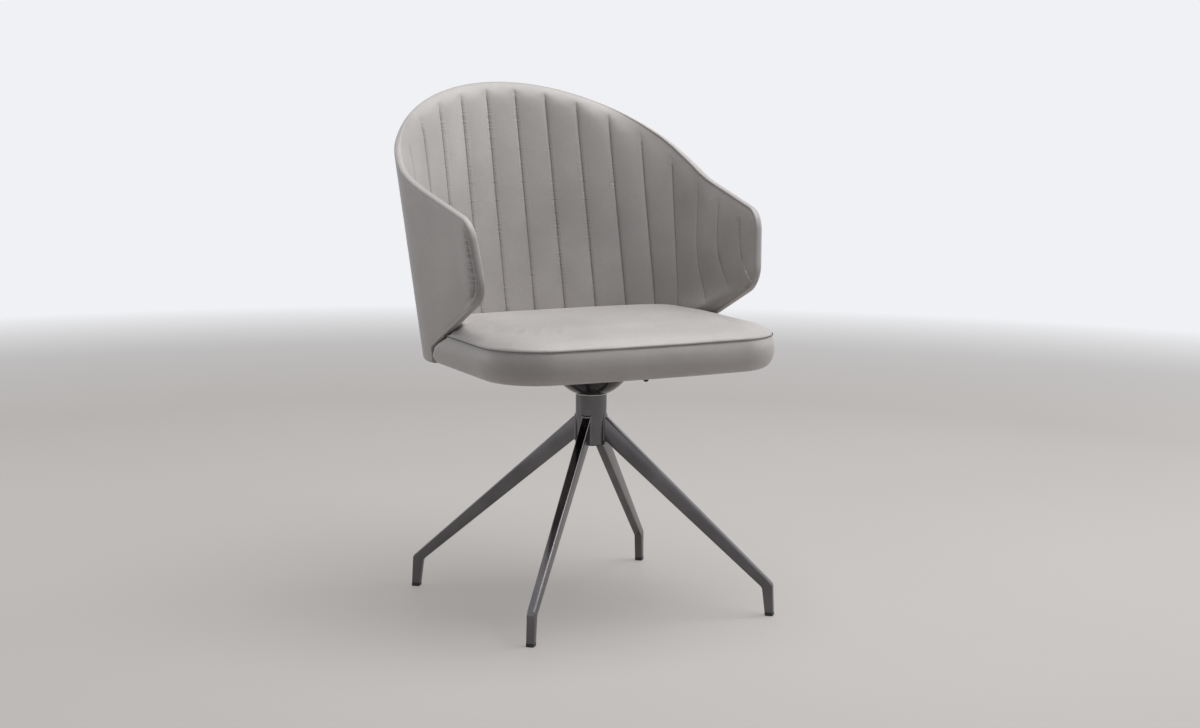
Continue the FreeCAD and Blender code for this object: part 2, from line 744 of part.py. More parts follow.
def crown_loft():
    """The top of the cushion: it rises fast at the seam and slowly towards the middle."""
    rear = pad_depth(seat_seam) + channel_bulge + seat_gap
    wires = []
    for share, inset, rear_in in crown_shape:
        height = seat_seam + share * crown_rise
        corner = seat_corner - inset * crown_corner_share
        wires.append(seat_section(height, inset, rear + rear_in, corner))
    return Part.makeLoft(wires, True, True)


def clear_of_back():
    """The space that the back and arms fill, with a gap, reaching out past the cushion's side."""
    wires = []
    for height in (loft_bottom, loft_top):
        outer = plan_edges(back_plan(height, -loft_margin), arm_reach)
        inner = plan_edges(back_plan(height, pad_depth(height) + channel_bulge + seat_gap), arm_reach)
        wires.append(closed_ring(outer, inner))
    ring = Part.makeLoft(wires, True, True)
    return ring.common(side_outline(-soft_gap, -soft_gap))


def build_seat():
    board_rear = cover_thickness + ply_thickness + soft_gap
    board = seat_block(board_bottom, board_top, board_inset, board_rear)
    rear = pad_depth(seat_seam) + channel_bulge + seat_gap
    core = seat_block(board_top, seat_seam, core_inset, rear + core_inset)
    lip = board_inset + wrap_width
    dust = seat_block(board_bottom - dust_cover_thickness, board_bottom, lip, board_rear + dust_cover_rear_in)
    back_space = clear_of_back()
    core = largest(core.cut(back_space))
    under = seat_block(seat_underside - 1, board_bottom, lip, board_rear)
    band = largest(band_loft().cut(board).cut(core).cut(under).cut(back_space))
    top = largest(crown_loft().cut(back_space))
    for centre in bolt_centres():
        nut = cylinder(tee_flange_radius, board_top - tee_flange_thickness, board_top, centre)
        barrel = cylinder(tee_barrel_radius, board_top - tee_flange_thickness - tee_barrel_length, board_top, centre)
        hole = cylinder(bolt_radius + bolt_clearance, board_bottom, board_top, centre)
        board = board.cut(nut).cut(barrel).cut(hole)
    for screw in back_screws()[0]:
        board = board.cut(screw)
    half = plate_side / 2 + soft_gap
    plate_hole = Part.makeBox(2 * half, 2 * half, plate_thickness, Vector(-half, -half, plate_bottom))
    vent_centre = Vector(0, -vent_forward, 0)
    vent = cylinder(vent_radius, board_bottom - vent_drop, board_bottom, vent_centre)
    button = vent.makeChamfer(vent_radius / 3, bottom_edges(vent))
    dust = single(dust.cut(plate_hole))
    band = single(band.cut(vent))
    keep("seat_board", single(board))
    keep("seat_core", core)
    keep("seat_band", band)
    keep("seat_top", top)
    keep("dust_cover", dust)
    keep("vent_button", single(button))


os.makedirs("parts", exist_ok=True)
build_hub()
build_bearing()
build_legs()
build_plate()
build_bowl()
build_plate_bolts()
build_back()
build_seat()
write_nodes()
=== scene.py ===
# %% [markdown]
# # A swivel armchair
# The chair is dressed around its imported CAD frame. The bodies and their places come from the frame. Here
# the upholstery gets its sewn skins, the base its soft metal edges, and every surface its finish.
# Everything is in metres in the frame's own axes. Sizes are written in millimetres and turned into metres
# at the last moment.

# %% Start: load the frame
import json
import math

import bmesh
import bpy
import numpy as np
from mathutils import Matrix, Vector
from mathutils.kdtree import KDTree


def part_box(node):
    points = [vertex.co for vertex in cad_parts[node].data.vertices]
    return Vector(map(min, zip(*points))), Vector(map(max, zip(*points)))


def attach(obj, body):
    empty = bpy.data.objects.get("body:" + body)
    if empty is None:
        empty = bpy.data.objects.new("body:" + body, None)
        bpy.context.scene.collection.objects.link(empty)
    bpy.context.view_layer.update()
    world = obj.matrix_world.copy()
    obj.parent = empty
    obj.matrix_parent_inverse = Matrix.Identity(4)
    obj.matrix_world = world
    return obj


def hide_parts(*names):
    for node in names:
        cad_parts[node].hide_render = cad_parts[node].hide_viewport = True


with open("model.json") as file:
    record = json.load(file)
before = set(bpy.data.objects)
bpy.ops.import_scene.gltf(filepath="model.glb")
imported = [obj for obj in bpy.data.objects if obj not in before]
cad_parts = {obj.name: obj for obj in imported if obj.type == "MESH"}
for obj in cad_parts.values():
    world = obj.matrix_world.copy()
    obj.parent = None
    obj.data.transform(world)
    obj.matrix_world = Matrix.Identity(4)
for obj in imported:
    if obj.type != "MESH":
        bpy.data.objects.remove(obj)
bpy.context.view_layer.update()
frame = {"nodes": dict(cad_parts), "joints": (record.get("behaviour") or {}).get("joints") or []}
axis_y = frame["joints"][0]["pos_m"][1]
axis_place = np.array([0, axis_y, 0])
MM = 0.001
print("swivel axis at y", round(axis_y, 5))

# %% [markdown]
# Small helpers come first. A piece is finished in steps that never change: its place goes into its mesh,
# and it gets its material, its smooth shading and the body that it rides on.

# %% Helpers for every piece
def deselect():
    if bpy.context.object and bpy.context.object.mode != "OBJECT":
        bpy.ops.object.mode_set(mode="OBJECT")
    bpy.ops.object.select_all(action="DESELECT")


def only(piece):
    """Makes one piece active and selected, and nothing else."""
    deselect()
    piece.select_set(True)
    bpy.context.view_layer.objects.active = piece


def added(name):
    """Names what an operator has just added."""
    piece = bpy.context.object
    piece.name = name
    piece.data.name = name
    return piece


def copied(piece, name):
    """A copy with its own mesh."""
    copy = piece.copy()
    copy.data = piece.data.copy()
    copy.name = name
    bpy.context.scene.collection.objects.link(copy)
    return copy


def apply_modifiers(piece):
    only(piece)
    for modifier in list(piece.modifiers):
        bpy.ops.object.modifier_apply(modifier=modifier.name)


def settle(piece):
    """Puts the piece's place into its mesh, as a CAD node's is."""
    only(piece)
    bpy.ops.object.transform_apply(location=True, rotation=True, scale=True)


def outward(piece, holes=False):
    """Merges doubles and turns every face outwards, after closing holes where asked."""
    only(piece)
    bpy.ops.object.mode_set(mode="EDIT")
    bpy.ops.mesh.select_all(action="SELECT")
    if holes:
        bpy.ops.mesh.fill_holes(sides=0)
    bpy.ops.mesh.remove_doubles(threshold=0.02 * MM)
    bpy.ops.mesh.normals_make_consistent(inside=False)
    bpy.ops.object.mode_set(mode="OBJECT")


def coat(piece, material):
    piece.data.materials.clear()
    piece.data.materials.append(material)


def shade(piece, angle=None):
    """Smooth shading, all over or up to an angle in degrees."""
    only(piece)
    if angle is None:
        bpy.ops.object.shade_smooth()
    else:
        bpy.ops.object.shade_smooth_by_angle(angle=math.radians(angle))


def finish_piece(piece, body, slot, material, *nodes, angle=None):
    settle(piece)
    coat(piece, material)
    shade(piece, angle)
    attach(piece, body)
    if nodes:
        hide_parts(*nodes)
    print(f"{piece.name}: {len(piece.data.polygons)} faces")


# %% [markdown]
# ## Finishes
# A procedural material is a short chain of nodes. Each one starts from object coordinates, so that grain
# keeps its real size in millimetres, and ends in one Principled shader. Colours are written as they are
# seen.

# %% Material helpers
def seen(red, green, blue):
    """A colour as it is seen on a screen, from 0 to 255, turned into the linear values that shaders use."""
    def linear(c):
        c = c / 255
        return c / 12.92 if c <= 0.04045 else ((c + 0.055) / 1.055) ** 2.4
    return (linear(red), linear(green), linear(blue), 1.0)


def toned(colour, share):
    """A colour made darker or lighter."""
    return [min(1.0, c * share) for c in colour[:3]] + [1.0]


class Nodes:
    """A small writer of node trees, for a material or a world."""

    def __init__(self, owner, end):
        owner.use_nodes = True
        self.tree = owner.node_tree
        self.end = self.tree.nodes[end]

    def add(self, kind, inputs=None, **settings):
        node = self.tree.nodes.new(kind)
        for key, value in settings.items():
            setattr(node, key, value)
        for key, value in (inputs or {}).items():
            self.feed(node.inputs[key], value)
        return node

    def feed(self, socket, value):
        if isinstance(value, bpy.types.NodeSocket):
            self.tree.links.new(value, socket)
        else:
            socket.default_value = value

    def set(self, **values):
        for key, value in values.items():
            self.feed(self.end.inputs[key.replace("_", " ")], value)

    def math(self, operation, a, b):
        return self.add("ShaderNodeMath", {0: a, 1: b}, operation=operation).outputs[0]

    def ramp(self, value, low, high, out_low, out_high):
        inputs = {"Value": value, "From Min": low, "From Max": high, "To Min": out_low, "To Max": out_high}
        return self.add("ShaderNodeMapRange", inputs).outputs["Result"]

    def seen_plainly(self):
        """1 for what is seen directly, in a mirror or through glass; 0 for what only lights the chair."""
        path = self.add("ShaderNodeLightPath").outputs
        through = self.math("MAXIMUM", path["Is Glossy Ray"], path["Is Transmission Ray"])
        return self.math("MAXIMUM", path["Is Camera Ray"], through)


class Paint(Nodes):
    """The writer of a new material."""

    def __init__(self, name):
        self.material = bpy.data.materials.new(name)
        super().__init__(self.material, "Principled BSDF")
        self.place = self.add("ShaderNodeTexCoord").outputs["Object"]

    def noise(self, scale, detail=4.0, vector=None):
        inputs = {"Scale": scale, "Detail": detail, "Vector": vector or self.place}
        return self.add("ShaderNodeTexNoise", inputs).outputs["Fac"]

    def stretched(self, scale, vector=None):
        """Coordinates drawn out, so that a noise of scale 1 has a grain."""
        inputs = {"Vector": vector or self.place, "Scale": scale}
        return self.add("ShaderNodeMapping", inputs).outputs["Vector"]

    def blend(self, factor, first, second):
        return self.add("ShaderNodeMix", {0: factor, 6: first, 7: second}, data_type="RGBA").outputs[2]

    def bump(self, height, distance, strength=1.0, normal=None):
        node = self.add("ShaderNodeBump", {"Strength": strength, "Distance": distance, "Height": height})
        if normal is not None:
            self.feed(node.inputs["Normal"], normal)
        return node.outputs["Normal"]


# %% [markdown]
# Leatherette is a coated cloth. Close up it has a fine pebble grain, a soft even sheen and a slight
# unevenness where the foam under it gives. Its colour barely changes, so the grain and the sheen do the
# work. Beside a sewing line the cloth puckers: the skins carry a map with each point's distance from its
# nearest line. Along the line the tone is painted darker, as painted shade in the seam's valley. Behind
# the arm's front edge a wider band of painted shade darkens the crease.

# %% Leatherette
def leatherette(name, colour, pucker=False, crease_shade=0.0):
    """A pucker draws folds and a painted line of shade along the sewing lines; crease shade paints a wider
    band of shade.
    """
    n = Paint(name)
    cloud = n.noise(9.0, 3.0)
    fine = n.noise(140.0, 3.0)
    tone = n.blend(n.ramp(cloud, 0.35, 0.65, 0.0, 1.0), toned(colour, 0.93), toned(colour, 1.07))
    tone = n.blend(n.ramp(fine, 0.3, 0.7, 0.0, 0.16), tone, toned(colour, 0.8))
    pebbles = n.add("ShaderNodeTexVoronoi", {"Scale": 900.0, "Randomness": 1.0, "Vector": n.place},
                    feature="SMOOTH_F1")
    normal = n.bump(pebbles.outputs["Distance"], 0.12 * MM, 0.35, n.bump(n.noise(26.0, 2.0), 1.2 * MM, 0.35))
    if pucker:
        seam = n.add("ShaderNodeUVMap", uv_map="seam").outputs["UV"]
        away = n.add("ShaderNodeSeparateXYZ", {"Vector": seam}).outputs["X"]
        fold_pitch, fold_height, fold_least, seam_shade_share = 270.0, 2.6, 0.2, 0.6
        if crease_shade:
            fold_pitch, fold_height, fold_least, seam_shade_share = 150.0, 4.5, 0.7, 0.9
        folds = n.noise(1.0, 2.0, vector=n.stretched((45.0, fold_pitch, 1.0), seam))
        near = n.ramp(away, 0.8 * MM, 9 * MM, 1.0, 0.0)
        where = n.ramp(n.noise(7.0, 1.0), 0.4, 0.6, fold_least, 1.0)
        height = n.math("MULTIPLY", n.math("MULTIPLY", folds, near), where)
        normal = n.bump(height, fold_height * MM, 0.8, normal)
        # Painted shade: the dark tone that the seam lines and the crease band are drawn towards.
        deepest = toned(colour, 0.3)
        # Painted shade: with crease shade the tone darkens over about 11 mm beside the crease, where shade
        # falls.
        if crease_shade:
            beside = n.ramp(away, 0.5 * MM, 11 * MM, crease_shade, 0.0)
            tone = n.blend(n.math("MULTIPLY", beside, n.ramp(folds, 0.35, 0.65, 0.85, 1.1)), tone, deepest)
        # Painted shade: a narrow dark line along each sewing line stands for the shade in its valley.
        line = n.ramp(away, 0.2 * MM, 1.6 * MM, 1.0, 0.0)
        tone = n.blend(n.math("MULTIPLY", line, seam_shade_share), tone, deepest)
    n.set(Base_Color=tone, Roughness=n.ramp(fine, 0.3, 0.7, 0.43, 0.52), Normal=normal,
          Sheen_Weight=0.12, Sheen_Roughness=0.45, Specular_IOR_Level=0.45)
    return n.material


def sewing_thread():
    n = Paint("thread")
    n.set(Base_Color=n.blend(n.noise(900.0), seen(58, 54, 51), seen(84, 79, 75)), Roughness=0.8)
    return n.material


leather_colour = seen(164, 160, 158)
# The pad's leatherette paints a dark line of shade along each sewing line.
sewn_leather = leatherette("leatherette_sewn", leather_colour, pucker=True)
# The outer cover's leatherette also paints a band of shade beside the arm's crease.
creased_leather = leatherette("leatherette_creased", leather_colour, pucker=True, crease_shade=0.62)
plain_leather = leatherette("leatherette", leather_colour)
thread = sewing_thread()


# %% [markdown]
# The base is steel with a dark nickel coat: a mirror that drinks most of the light. Very fine draw lines
# from the polishing wheel blur it a little, more in one place than in another. Plastics have no such
# lines, but a fine grain. Plywood shows its long fibres.

# %% Dark nickel, black gloss, black plastic and wood
def metal(name, colour, low, high, grain=(60.0, 60.0, 900.0)):
    n = Paint(name)
    lines = n.noise(1.0, vector=n.stretched(grain))
    cloud = n.noise(14.0, 3.0)
    tone = n.blend(n.ramp(cloud, 0.35, 0.65, 0.0, 1.0), toned(colour, 0.86), toned(colour, 1.12))
    rough = n.math("ADD", n.ramp(cloud, 0.35, 0.65, low, high), n.ramp(lines, 0.3, 0.7, 0.0, 0.05))
    n.set(Base_Color=tone, Metallic=1.0, Roughness=rough, Normal=n.bump(lines, 0.03 * MM, 0.3))
    return n.material


def plastic(name, colour, low, high, grain_depth):
    n = Paint(name)
    fine = n.noise(700.0, 3.0)
    cloud = n.noise(18.0, 3.0)
    tone = n.blend(n.ramp(cloud, 0.3, 0.7, 0.0, 1.0), colour, toned(colour, 1.35))
    rough = n.ramp(cloud, 0.35, 0.65, low, high)
    n.set(Base_Color=tone, Roughness=rough, Normal=n.bump(fine, grain_depth * MM, 0.4))
    return n.material


def wood(name):
    n = Paint(name)
    grain = n.noise(1.0, 5.0, vector=n.stretched((12.0, 90.0, 500.0)))
    tone = n.blend(grain, seen(196, 160, 112), seen(150, 112, 70))
    rough = n.ramp(grain, 0.2, 0.8, 0.55, 0.75)
    n.set(Base_Color=tone, Roughness=rough, Normal=n.bump(grain, 0.2 * MM, 0.4))
    return n.material


dark_nickel = metal("dark_nickel", seen(103, 101, 103), 0.12, 0.2)
weld_metal = metal("weld_metal", seen(122, 120, 120), 0.22, 0.36, grain=(400.0, 400.0, 400.0))
plain_steel = metal("plain_steel", seen(150, 148, 146), 0.3, 0.4)
black_steel = plastic("black_steel", seen(26, 26, 27), 0.35, 0.5, 0.04)
gloss_black = plastic("gloss_black", seen(16, 16, 17), 0.1, 0.18, 0.01)
black_plastic = plastic("black_plastic", seen(24, 24, 25), 0.4, 0.55, 0.06)
bush_plastic = plastic("bush_plastic", seen(205, 202, 194), 0.4, 0.5, 0.03)
lining = plastic("lining", seen(38, 37, 37), 0.8, 0.92, 0.2)
plywood = wood("plywood")

# %% [markdown]
# Many CAD nodes are right as they are. They stay and only get their finish, and those of the hub that
# show are shaded smooth up to their real edges.

# %% Finishes of the CAD nodes that stay
hub_nodes = {"hub_tube": dark_nickel, "leg_welds": weld_metal, "swivel_cover": gloss_black,
             "vent_button": black_plastic}
other_nodes = {
    "hub_cap": black_plastic, "lower_bush": bush_plastic, "upper_bush": bush_plastic,
    "thrust_washer": bush_plastic, "spindle": plain_steel, "stop_washer": plain_steel,
    "circlip": plain_steel, "swivel_plate": black_steel, "spindle_ribs": black_steel,
    "plate_bolts": black_steel, "tee_nuts": plain_steel, "back_shell": plywood, "back_screws": plain_steel,
    "seat_board": plywood,
}
for node, material in {**hub_nodes, **other_nodes}.items():
    coat(frame["nodes"][node], material)
for node in hub_nodes:
    shade(frame["nodes"][node], 30)
print("CAD nodes that stay:", len(hub_nodes) + len(other_nodes), "and the glides")

# %% [markdown]
# ## The wrap-around back
# The back and arms are one bent shell. Seen from above it is a wide arc, two tighter corner arcs and two
# nearly straight arms; seen from the side it is cut by a rim that falls from the back to the arms, a
# short front edge and a slanting lower edge. The sizes are those of the CAD model, so that skins and
# frame agree. Only the arm's corners are rounder here, because the padding on them is rounder than the
# plywood inside.

# %% Sizes of the back, in millimetres about the swivel axis
half_width_at_seat, depth_at_seat, radius_at_seat, corner_at_seat = 245.0, 284.0, 278.0, 120.0
seat_level, flare, recline, toe_in = 440.0, 0.11, 0.19, math.radians(1.3)
pad_low, pad_high, pad_top_level = 26.0, 13.0, 820.0
rim_back, rim_bend, arm_top, arm_bottom = (355.3, 825.7), (127.0, 684.0), (-90.0, 632.5), (-112.0, 517.0)
shell_foot, shell_bottom, foot_slant = (88.0, 418.5), 392.0, 1.5
rim_bend_radius, arm_top_radius, arm_bottom_radius, foot_radius = 400.0, 46.0, 44.0, 10.0
border_width = 11.2

side_step = half_width_at_seat - corner_at_seat
corner_rise = math.sqrt((radius_at_seat - corner_at_seat) ** 2 - side_step ** 2)
meet_angle = math.atan2(side_step, corner_rise)
end_angle = math.pi / 2 + toe_in


def plan(z):
    """The plan at a height: the radii of the back and the corner, and the y of their centres."""
    rise = z - seat_level
    radius = radius_at_seat + flare * rise
    corner = corner_at_seat + flare * rise
    back_centre = depth_at_seat + recline * rise - radius
    return radius, corner, back_centre, back_centre + corner_rise


def pad_depth(z):
    """Depth of the pad's seams behind the outer surface."""
    return pad_low + (z - seat_level) / (pad_top_level - seat_level) * (pad_high - pad_low)


def shell(run, z, depth):
    """The point at a distance along the pad, a height and a depth behind the outer surface: x and y."""
    radius, corner, back_centre, corner_centre = plan(z)
    pad = pad_depth(z)
    first = (radius - pad) * meet_angle
    second = (corner - pad) * (end_angle - meet_angle)
    angle = np.clip(run / (radius - pad), 0, meet_angle)
    bend = meet_angle + np.clip((run - first) / (corner - pad), 0, end_angle - meet_angle)
    straight = np.maximum(run - first - second, 0)
    x = np.where(run <= first, (radius - depth) * np.sin(angle),
                 side_step + (corner - depth) * np.sin(bend) - straight * math.sin(toe_in))
    y = np.where(run <= first, back_centre + (radius - depth) * np.cos(angle),
                 corner_centre + (corner - depth) * np.cos(bend) - straight * math.cos(toe_in))
    return x, y


def arm_run(y, z, depth):
    """The distance along the pad at which a straight arm has the given y."""
    radius, corner, _, corner_centre = plan(z)
    pad = pad_depth(z)
    round_the_corner = (radius - pad) * meet_angle + (corner - pad) * (end_angle - meet_angle)
    start = corner_centre + (corner - depth) * math.cos(end_angle)
    return round_the_corner + (start - y) / math.cos(toe_in)


def arm_place(y, z, depth):
    """The distance from the middle plane of a straight arm's point, for a given y."""
    return shell(arm_run(y, z, depth), z, depth)[0]


# %% [markdown]
# ### The outline seen from the side
# It is a polygon with rounded corners. Moved inwards, it gives the same number of points in the same
# order, so that strips and skins can be laid between two such lines.

# %% Side outline
outline_rear, below_shell, arc_steps = 460.0, 40.0, 14


def rounded(points, radii):
    """A closed polyline with an arc in each corner."""
    line = []
    for i, corner in enumerate(points):
        if radii[i] == 0:
            line.append(corner)
            continue
        back = points[i - 1] - corner
        ahead = points[(i + 1) % len(points)] - corner
        back = back / np.linalg.norm(back)
        ahead = ahead / np.linalg.norm(ahead)
        half = math.acos(np.clip(back @ ahead, -1, 1)) / 2
        middle = (back + ahead) / np.linalg.norm(back + ahead)
        centre = corner + middle * radii[i] / math.sin(half)
        first = corner + back * radii[i] / math.tan(half) - centre
        last = corner + ahead * radii[i] / math.tan(half) - centre
        sweep = math.acos(np.clip(first @ last / radii[i] ** 2, -1, 1))
        for k in range(arc_steps + 1):
            t = k / arc_steps
            direction = (math.sin((1 - t) * sweep) * first + math.sin(t * sweep) * last) / math.sin(sweep)
            line.append(centre + direction)
    return np.array(line)


rim_slope = (rim_back[1] - rim_bend[1]) / (rim_back[0] - rim_bend[0])
side_corners = [(outline_rear, rim_back[1] + rim_slope * (outline_rear - rim_back[0])), rim_bend, arm_top,
                arm_bottom, shell_foot, (shell_foot[0] + foot_slant, shell_bottom - below_shell),
                (outline_rear, shell_bottom - below_shell)]
side_corners = [np.array(corner) for corner in side_corners]


def outline(inset):
    """The side outline moved inwards."""
    moved = []
    for i, here in enumerate(side_corners):
        before, after = side_corners[i - 1], side_corners[(i + 1) % len(side_corners)]
        normals = []
        for step in (here - before, after - here):
            normals.append(np.array([-step[1], step[0]]) / np.linalg.norm(step))
        moved.append(here + inset * (normals[0] + normals[1]) / (1 + normals[0] @ normals[1]))
    return rounded(moved, [0, rim_bend_radius + inset, arm_top_radius - inset, arm_bottom_radius - inset,
                           foot_radius - inset, 0, 0])


arc_points = arc_steps + 1
top_corner_middle = 1 + arc_points + arc_points // 2
bottom_corner_middle = top_corner_middle + arc_points
side_line = outline(0.0)


def inside(y, z):
    """How far a point lies inside the side outline, seen from the side; negative outside it."""
    shape = np.broadcast(y, z).shape
    p = np.stack([np.broadcast_to(y, shape).ravel(), np.broadcast_to(z, shape).ravel()], 1)
    a = side_line
    b = np.roll(side_line, -1, 0)
    out = np.empty(len(p))
    block_size = 4000
    for start in range(0, len(p), block_size):
        block = p[start:start + block_size, None, :]
        along = np.clip(((block - a) * (b - a)).sum(2) / ((b - a) ** 2).sum(1), 0, 1)
        gap = np.sqrt((((a + along[..., None] * (b - a)) - block) ** 2).sum(2)).min(1)
        crosses = (a[:, 1] > block[..., 1]) != (b[:, 1] > block[..., 1])
        with np.errstate(divide="ignore", invalid="ignore"):
            at = a[:, 0] + (block[..., 1] - a[:, 1]) / (b[:, 1] - a[:, 1]) * (b[:, 0] - a[:, 0])
        odd = (crosses & (block[..., 0] < at)).sum(1) % 2
        out[start:start + block_size] = np.where(odd == 1, gap, -gap)
    return out.reshape(shape)


def line_distance(y, z, start, end):
    """How far a point lies from the straight line from start to end, seen from the side."""
    step = (end - start) / np.linalg.norm(end - start)
    return np.abs(step[0] * (z - start[1]) - step[1] * (y - start[0]))


def lengths(points):
    """The length of a polyline up to each of its points."""
    return np.concatenate([[0], np.cumsum(np.linalg.norm(np.diff(points, axis=0), axis=1))])


# %% [markdown]
# ### The sewing lines
# Each line has a number q: its distance from the middle of the back, measured along the pad. Behind the
# corner the lines stand upright. On the arm they swing forward towards the seat, and the channels widen
# with them.

# %% Places of the sewing lines
seam_first, seam_pitch, seams_to_corner, arm_seams = 26.9, 53.2, 6, 3
arm_pitch_even, arm_swing, arm_swing_level, arm_swing_height = 66.5, 28.0, 580.0, 110.0
corner_seam = seam_first + seam_pitch * (seams_to_corner - 1)
seams = [seam_first + seam_pitch * i for i in range(seams_to_corner)]
seams += [corner_seam + arm_pitch_even * (i + 1) for i in range(arm_seams)]
seams = np.array(seams)
lowest_rim, highest_rim, halvings = 560.0, 880.0, 34
print("sewing lines on each side at", seams.round(1))


def smooth(t):
    t = np.clip(t, 0, 1)
    return t * t * (3 - 2 * t)


def roll(t):
    """A quarter of an ellipse: steep at the edge, level at the end."""
    return np.sqrt(1 - (1 - np.clip(t, 0, 1)) ** 2)


def arm_pitch(z):
    """The distance between the arm's sewing lines at a height."""
    return arm_pitch_even + arm_swing * (np.clip(arm_swing_level - z, 0, None) / arm_swing_height) ** 2


def run_at(q, z, swing=1.0):
    """Distance along the pad from the middle of the back for a line; without swing it stays upright."""
    stretch = 1 + swing * (arm_pitch(z) / arm_pitch_even - 1)
    return np.where(q <= corner_seam, q, corner_seam + (q - corner_seam) * stretch)


def arm_line(run, z):
    """The number of the line through a point on the arm."""
    return corner_seam + (run - corner_seam) * arm_pitch_even / arm_pitch(z)


def line_at(run, z):
    """The number of the line through a point: the way back from run_at."""
    return np.where(run <= corner_seam, run, arm_line(run, z))


def seam_gap(run, z):
    """The distance from the nearest seam, and half the width of the channel."""
    share = np.where(run > corner_seam, arm_pitch(z) / arm_pitch_even, 1.0)
    q = line_at(run, z)
    nearest = np.abs(q[..., None] - seams).argmin(-1)
    half = np.where(q > corner_seam, arm_pitch(z) / 2, seam_pitch / 2)
    return (q - seams[nearest]) * share, half


def halved(good, bad, test):
    """The last height that passes a test, on the way from a good one to a bad one."""
    for _ in range(halvings):
        middle = (good + bad) / 2
        passes = test(middle)
        good = np.where(passes, middle, good)
        bad = np.where(passes, bad, middle)
    return good


def within(q, inset, swing):
    """The test whether a line's point at a height lies inside the outline by the inset."""
    return lambda z: inside(shell(run_at(q, z, swing), z, 0.0)[1], z) > inset


def column_top(q, inset, swing=1.0):
    """The height at which a sewing line meets the rim or, on the arm, its upper edge."""
    low, high = np.full(np.shape(q), lowest_rim), np.full(np.shape(q), highest_rim)
    return halved(low, high, within(q, inset, swing))


def column_bottom(q, inset, floor, swing=1.0):
    """The height at which a sewing line meets the slanting lower edge, or the given floor behind it."""
    low = np.full(np.shape(q), floor)
    test = within(q, inset, swing)
    return np.where(test(low), floor, halved(column_top(q, inset, swing), low, test))


# %% [markdown]
# ### The grid that both skins are laid on
# Up to the last seam the columns follow the sewing lines, close together at every seam. The end of the
# arm is a four-sided patch whose sides are the last seam, the front edge and what lies between them above
# and below.

# %% Grid of the skins
near_seam = (0.7, 1.8, 3.4, 5.6, 8.6, 12.5, 17.0, 22.0)
end_shares = np.array([0.015, 0.035, 0.07, 0.12, 0.2, 0.3, 0.4, 0.5, 0.6, 0.69, 0.77, 0.84, 0.895, 0.94,
                       0.97, 0.988, 1.0])
beside_middle, wide_channel, wide_step, least_step = 5.0, 30.0, 29.0, 0.3
back_edge, edge_grows_from, edge_grows_over, lean_turns_over = 0.3, 150.0, 150.0, 330.0


def edge_share(q):
    """The border strip is full on the arms and narrows towards the top of the back."""
    return back_edge + (1 - back_edge) * smooth((q - edge_grows_from) / edge_grows_over)


def lean(q):
    """How much the shell leans outwards: the rim is cut square to it, so it rises by this much inwards."""
    turn = math.pi / 2 * smooth(q / lean_turns_over)
    return recline * np.cos(turn) + flare * np.sin(turn)


def spread(count, sharpness):
    """Shares from 0 to 1 that lie closer together at both ends."""
    t = np.linspace(-1, 1, count)
    return 0.5 + 0.5 * np.tanh(sharpness * t) / math.tanh(sharpness)


def sewing_columns():
    """Sewing lines and the columns between them, up to the last seam."""
    found = [0.0, beside_middle]
    for seam in seams:
        half = seam_pitch / 2 if seam <= corner_seam else arm_pitch_even / 2
        found.append(seam)
        found += [seam - gap for gap in near_seam]
        if seam < seams[-1]:
            found += [seam + gap for gap in near_seam]
            found.append(seam + (seam_pitch / 2 if seam < corner_seam else arm_pitch_even / 2))
        if half > wide_channel:
            found += [seam - wide_step, seam - half]
    found = np.array(sorted(found))
    return found[np.concatenate([[True], np.diff(found) > least_step])]


def resampled(points, shares):
    """Points of a line at shares of its length."""
    steps = lengths(points)
    return np.stack([np.interp(shares * steps[-1], steps, points[:, k]) for k in range(2)], -1)


def arm_end(inset, across, up, swing):
    """The end of the arm: y and z seen from the side."""
    line = outline(inset)
    q = seams[-1]
    top = column_top(q, inset, swing)
    bottom = column_bottom(q, inset, shell_bottom, swing)
    z = bottom + (top - bottom) * up
    seam_side = np.stack([shell(run_at(q, z, swing), z, 0.0)[1], z], -1)
    front_side = resampled(line[top_corner_middle:bottom_corner_middle + 1][::-1], up)
    upper = line[top_corner_middle - arc_points // 2:top_corner_middle + 1]
    lower = line[bottom_corner_middle:bottom_corner_middle + arc_points // 2 + 1][::-1]
    upper = resampled(np.concatenate([seam_side[-1:], upper]), across)[:, None]
    lower = resampled(np.concatenate([seam_side[:1], lower]), across)[:, None]
    s, u = across[:, None, None], up[None, :, None]
    sides = (1 - s) * seam_side + s * front_side + (1 - u) * lower + u * upper
    corners = ((1 - s) * (1 - u) * seam_side[0] + s * (1 - u) * front_side[0]
               + (1 - s) * u * seam_side[-1] + s * u * front_side[-1])
    patch = sides - corners
    return patch[..., 0], patch[..., 1]


def laid(columns, up, inset, floor, ends=end_shares, swing=1.0):
    """Distances along the pad and heights of one side's grid: the sewing lines, then the arm's end."""
    q = columns[:, None]
    edge_in = inset * edge_share(q)
    top = column_top(q, edge_in, swing)
    bottom = column_bottom(q, edge_in, floor, swing)
    z = bottom + (top - bottom) * up
    end_y, end_z = arm_end(inset, ends, up, swing)
    return np.concatenate([run_at(q, z, swing), arm_run(end_y, end_z, 0.0)]), np.concatenate([z, end_z])


# %% [markdown]
# A skin starts as a grid primitive. Its points are laid on the shell, each at its own depth behind the
# outer surface, and mirrored to the other side. Towards the rim they rise a little, because the rim is
# cut square.

# %% A skin over the back
slope_share, slope_until, slope_over, lift_width = 0.3, 300.0, 200.0, 70.0


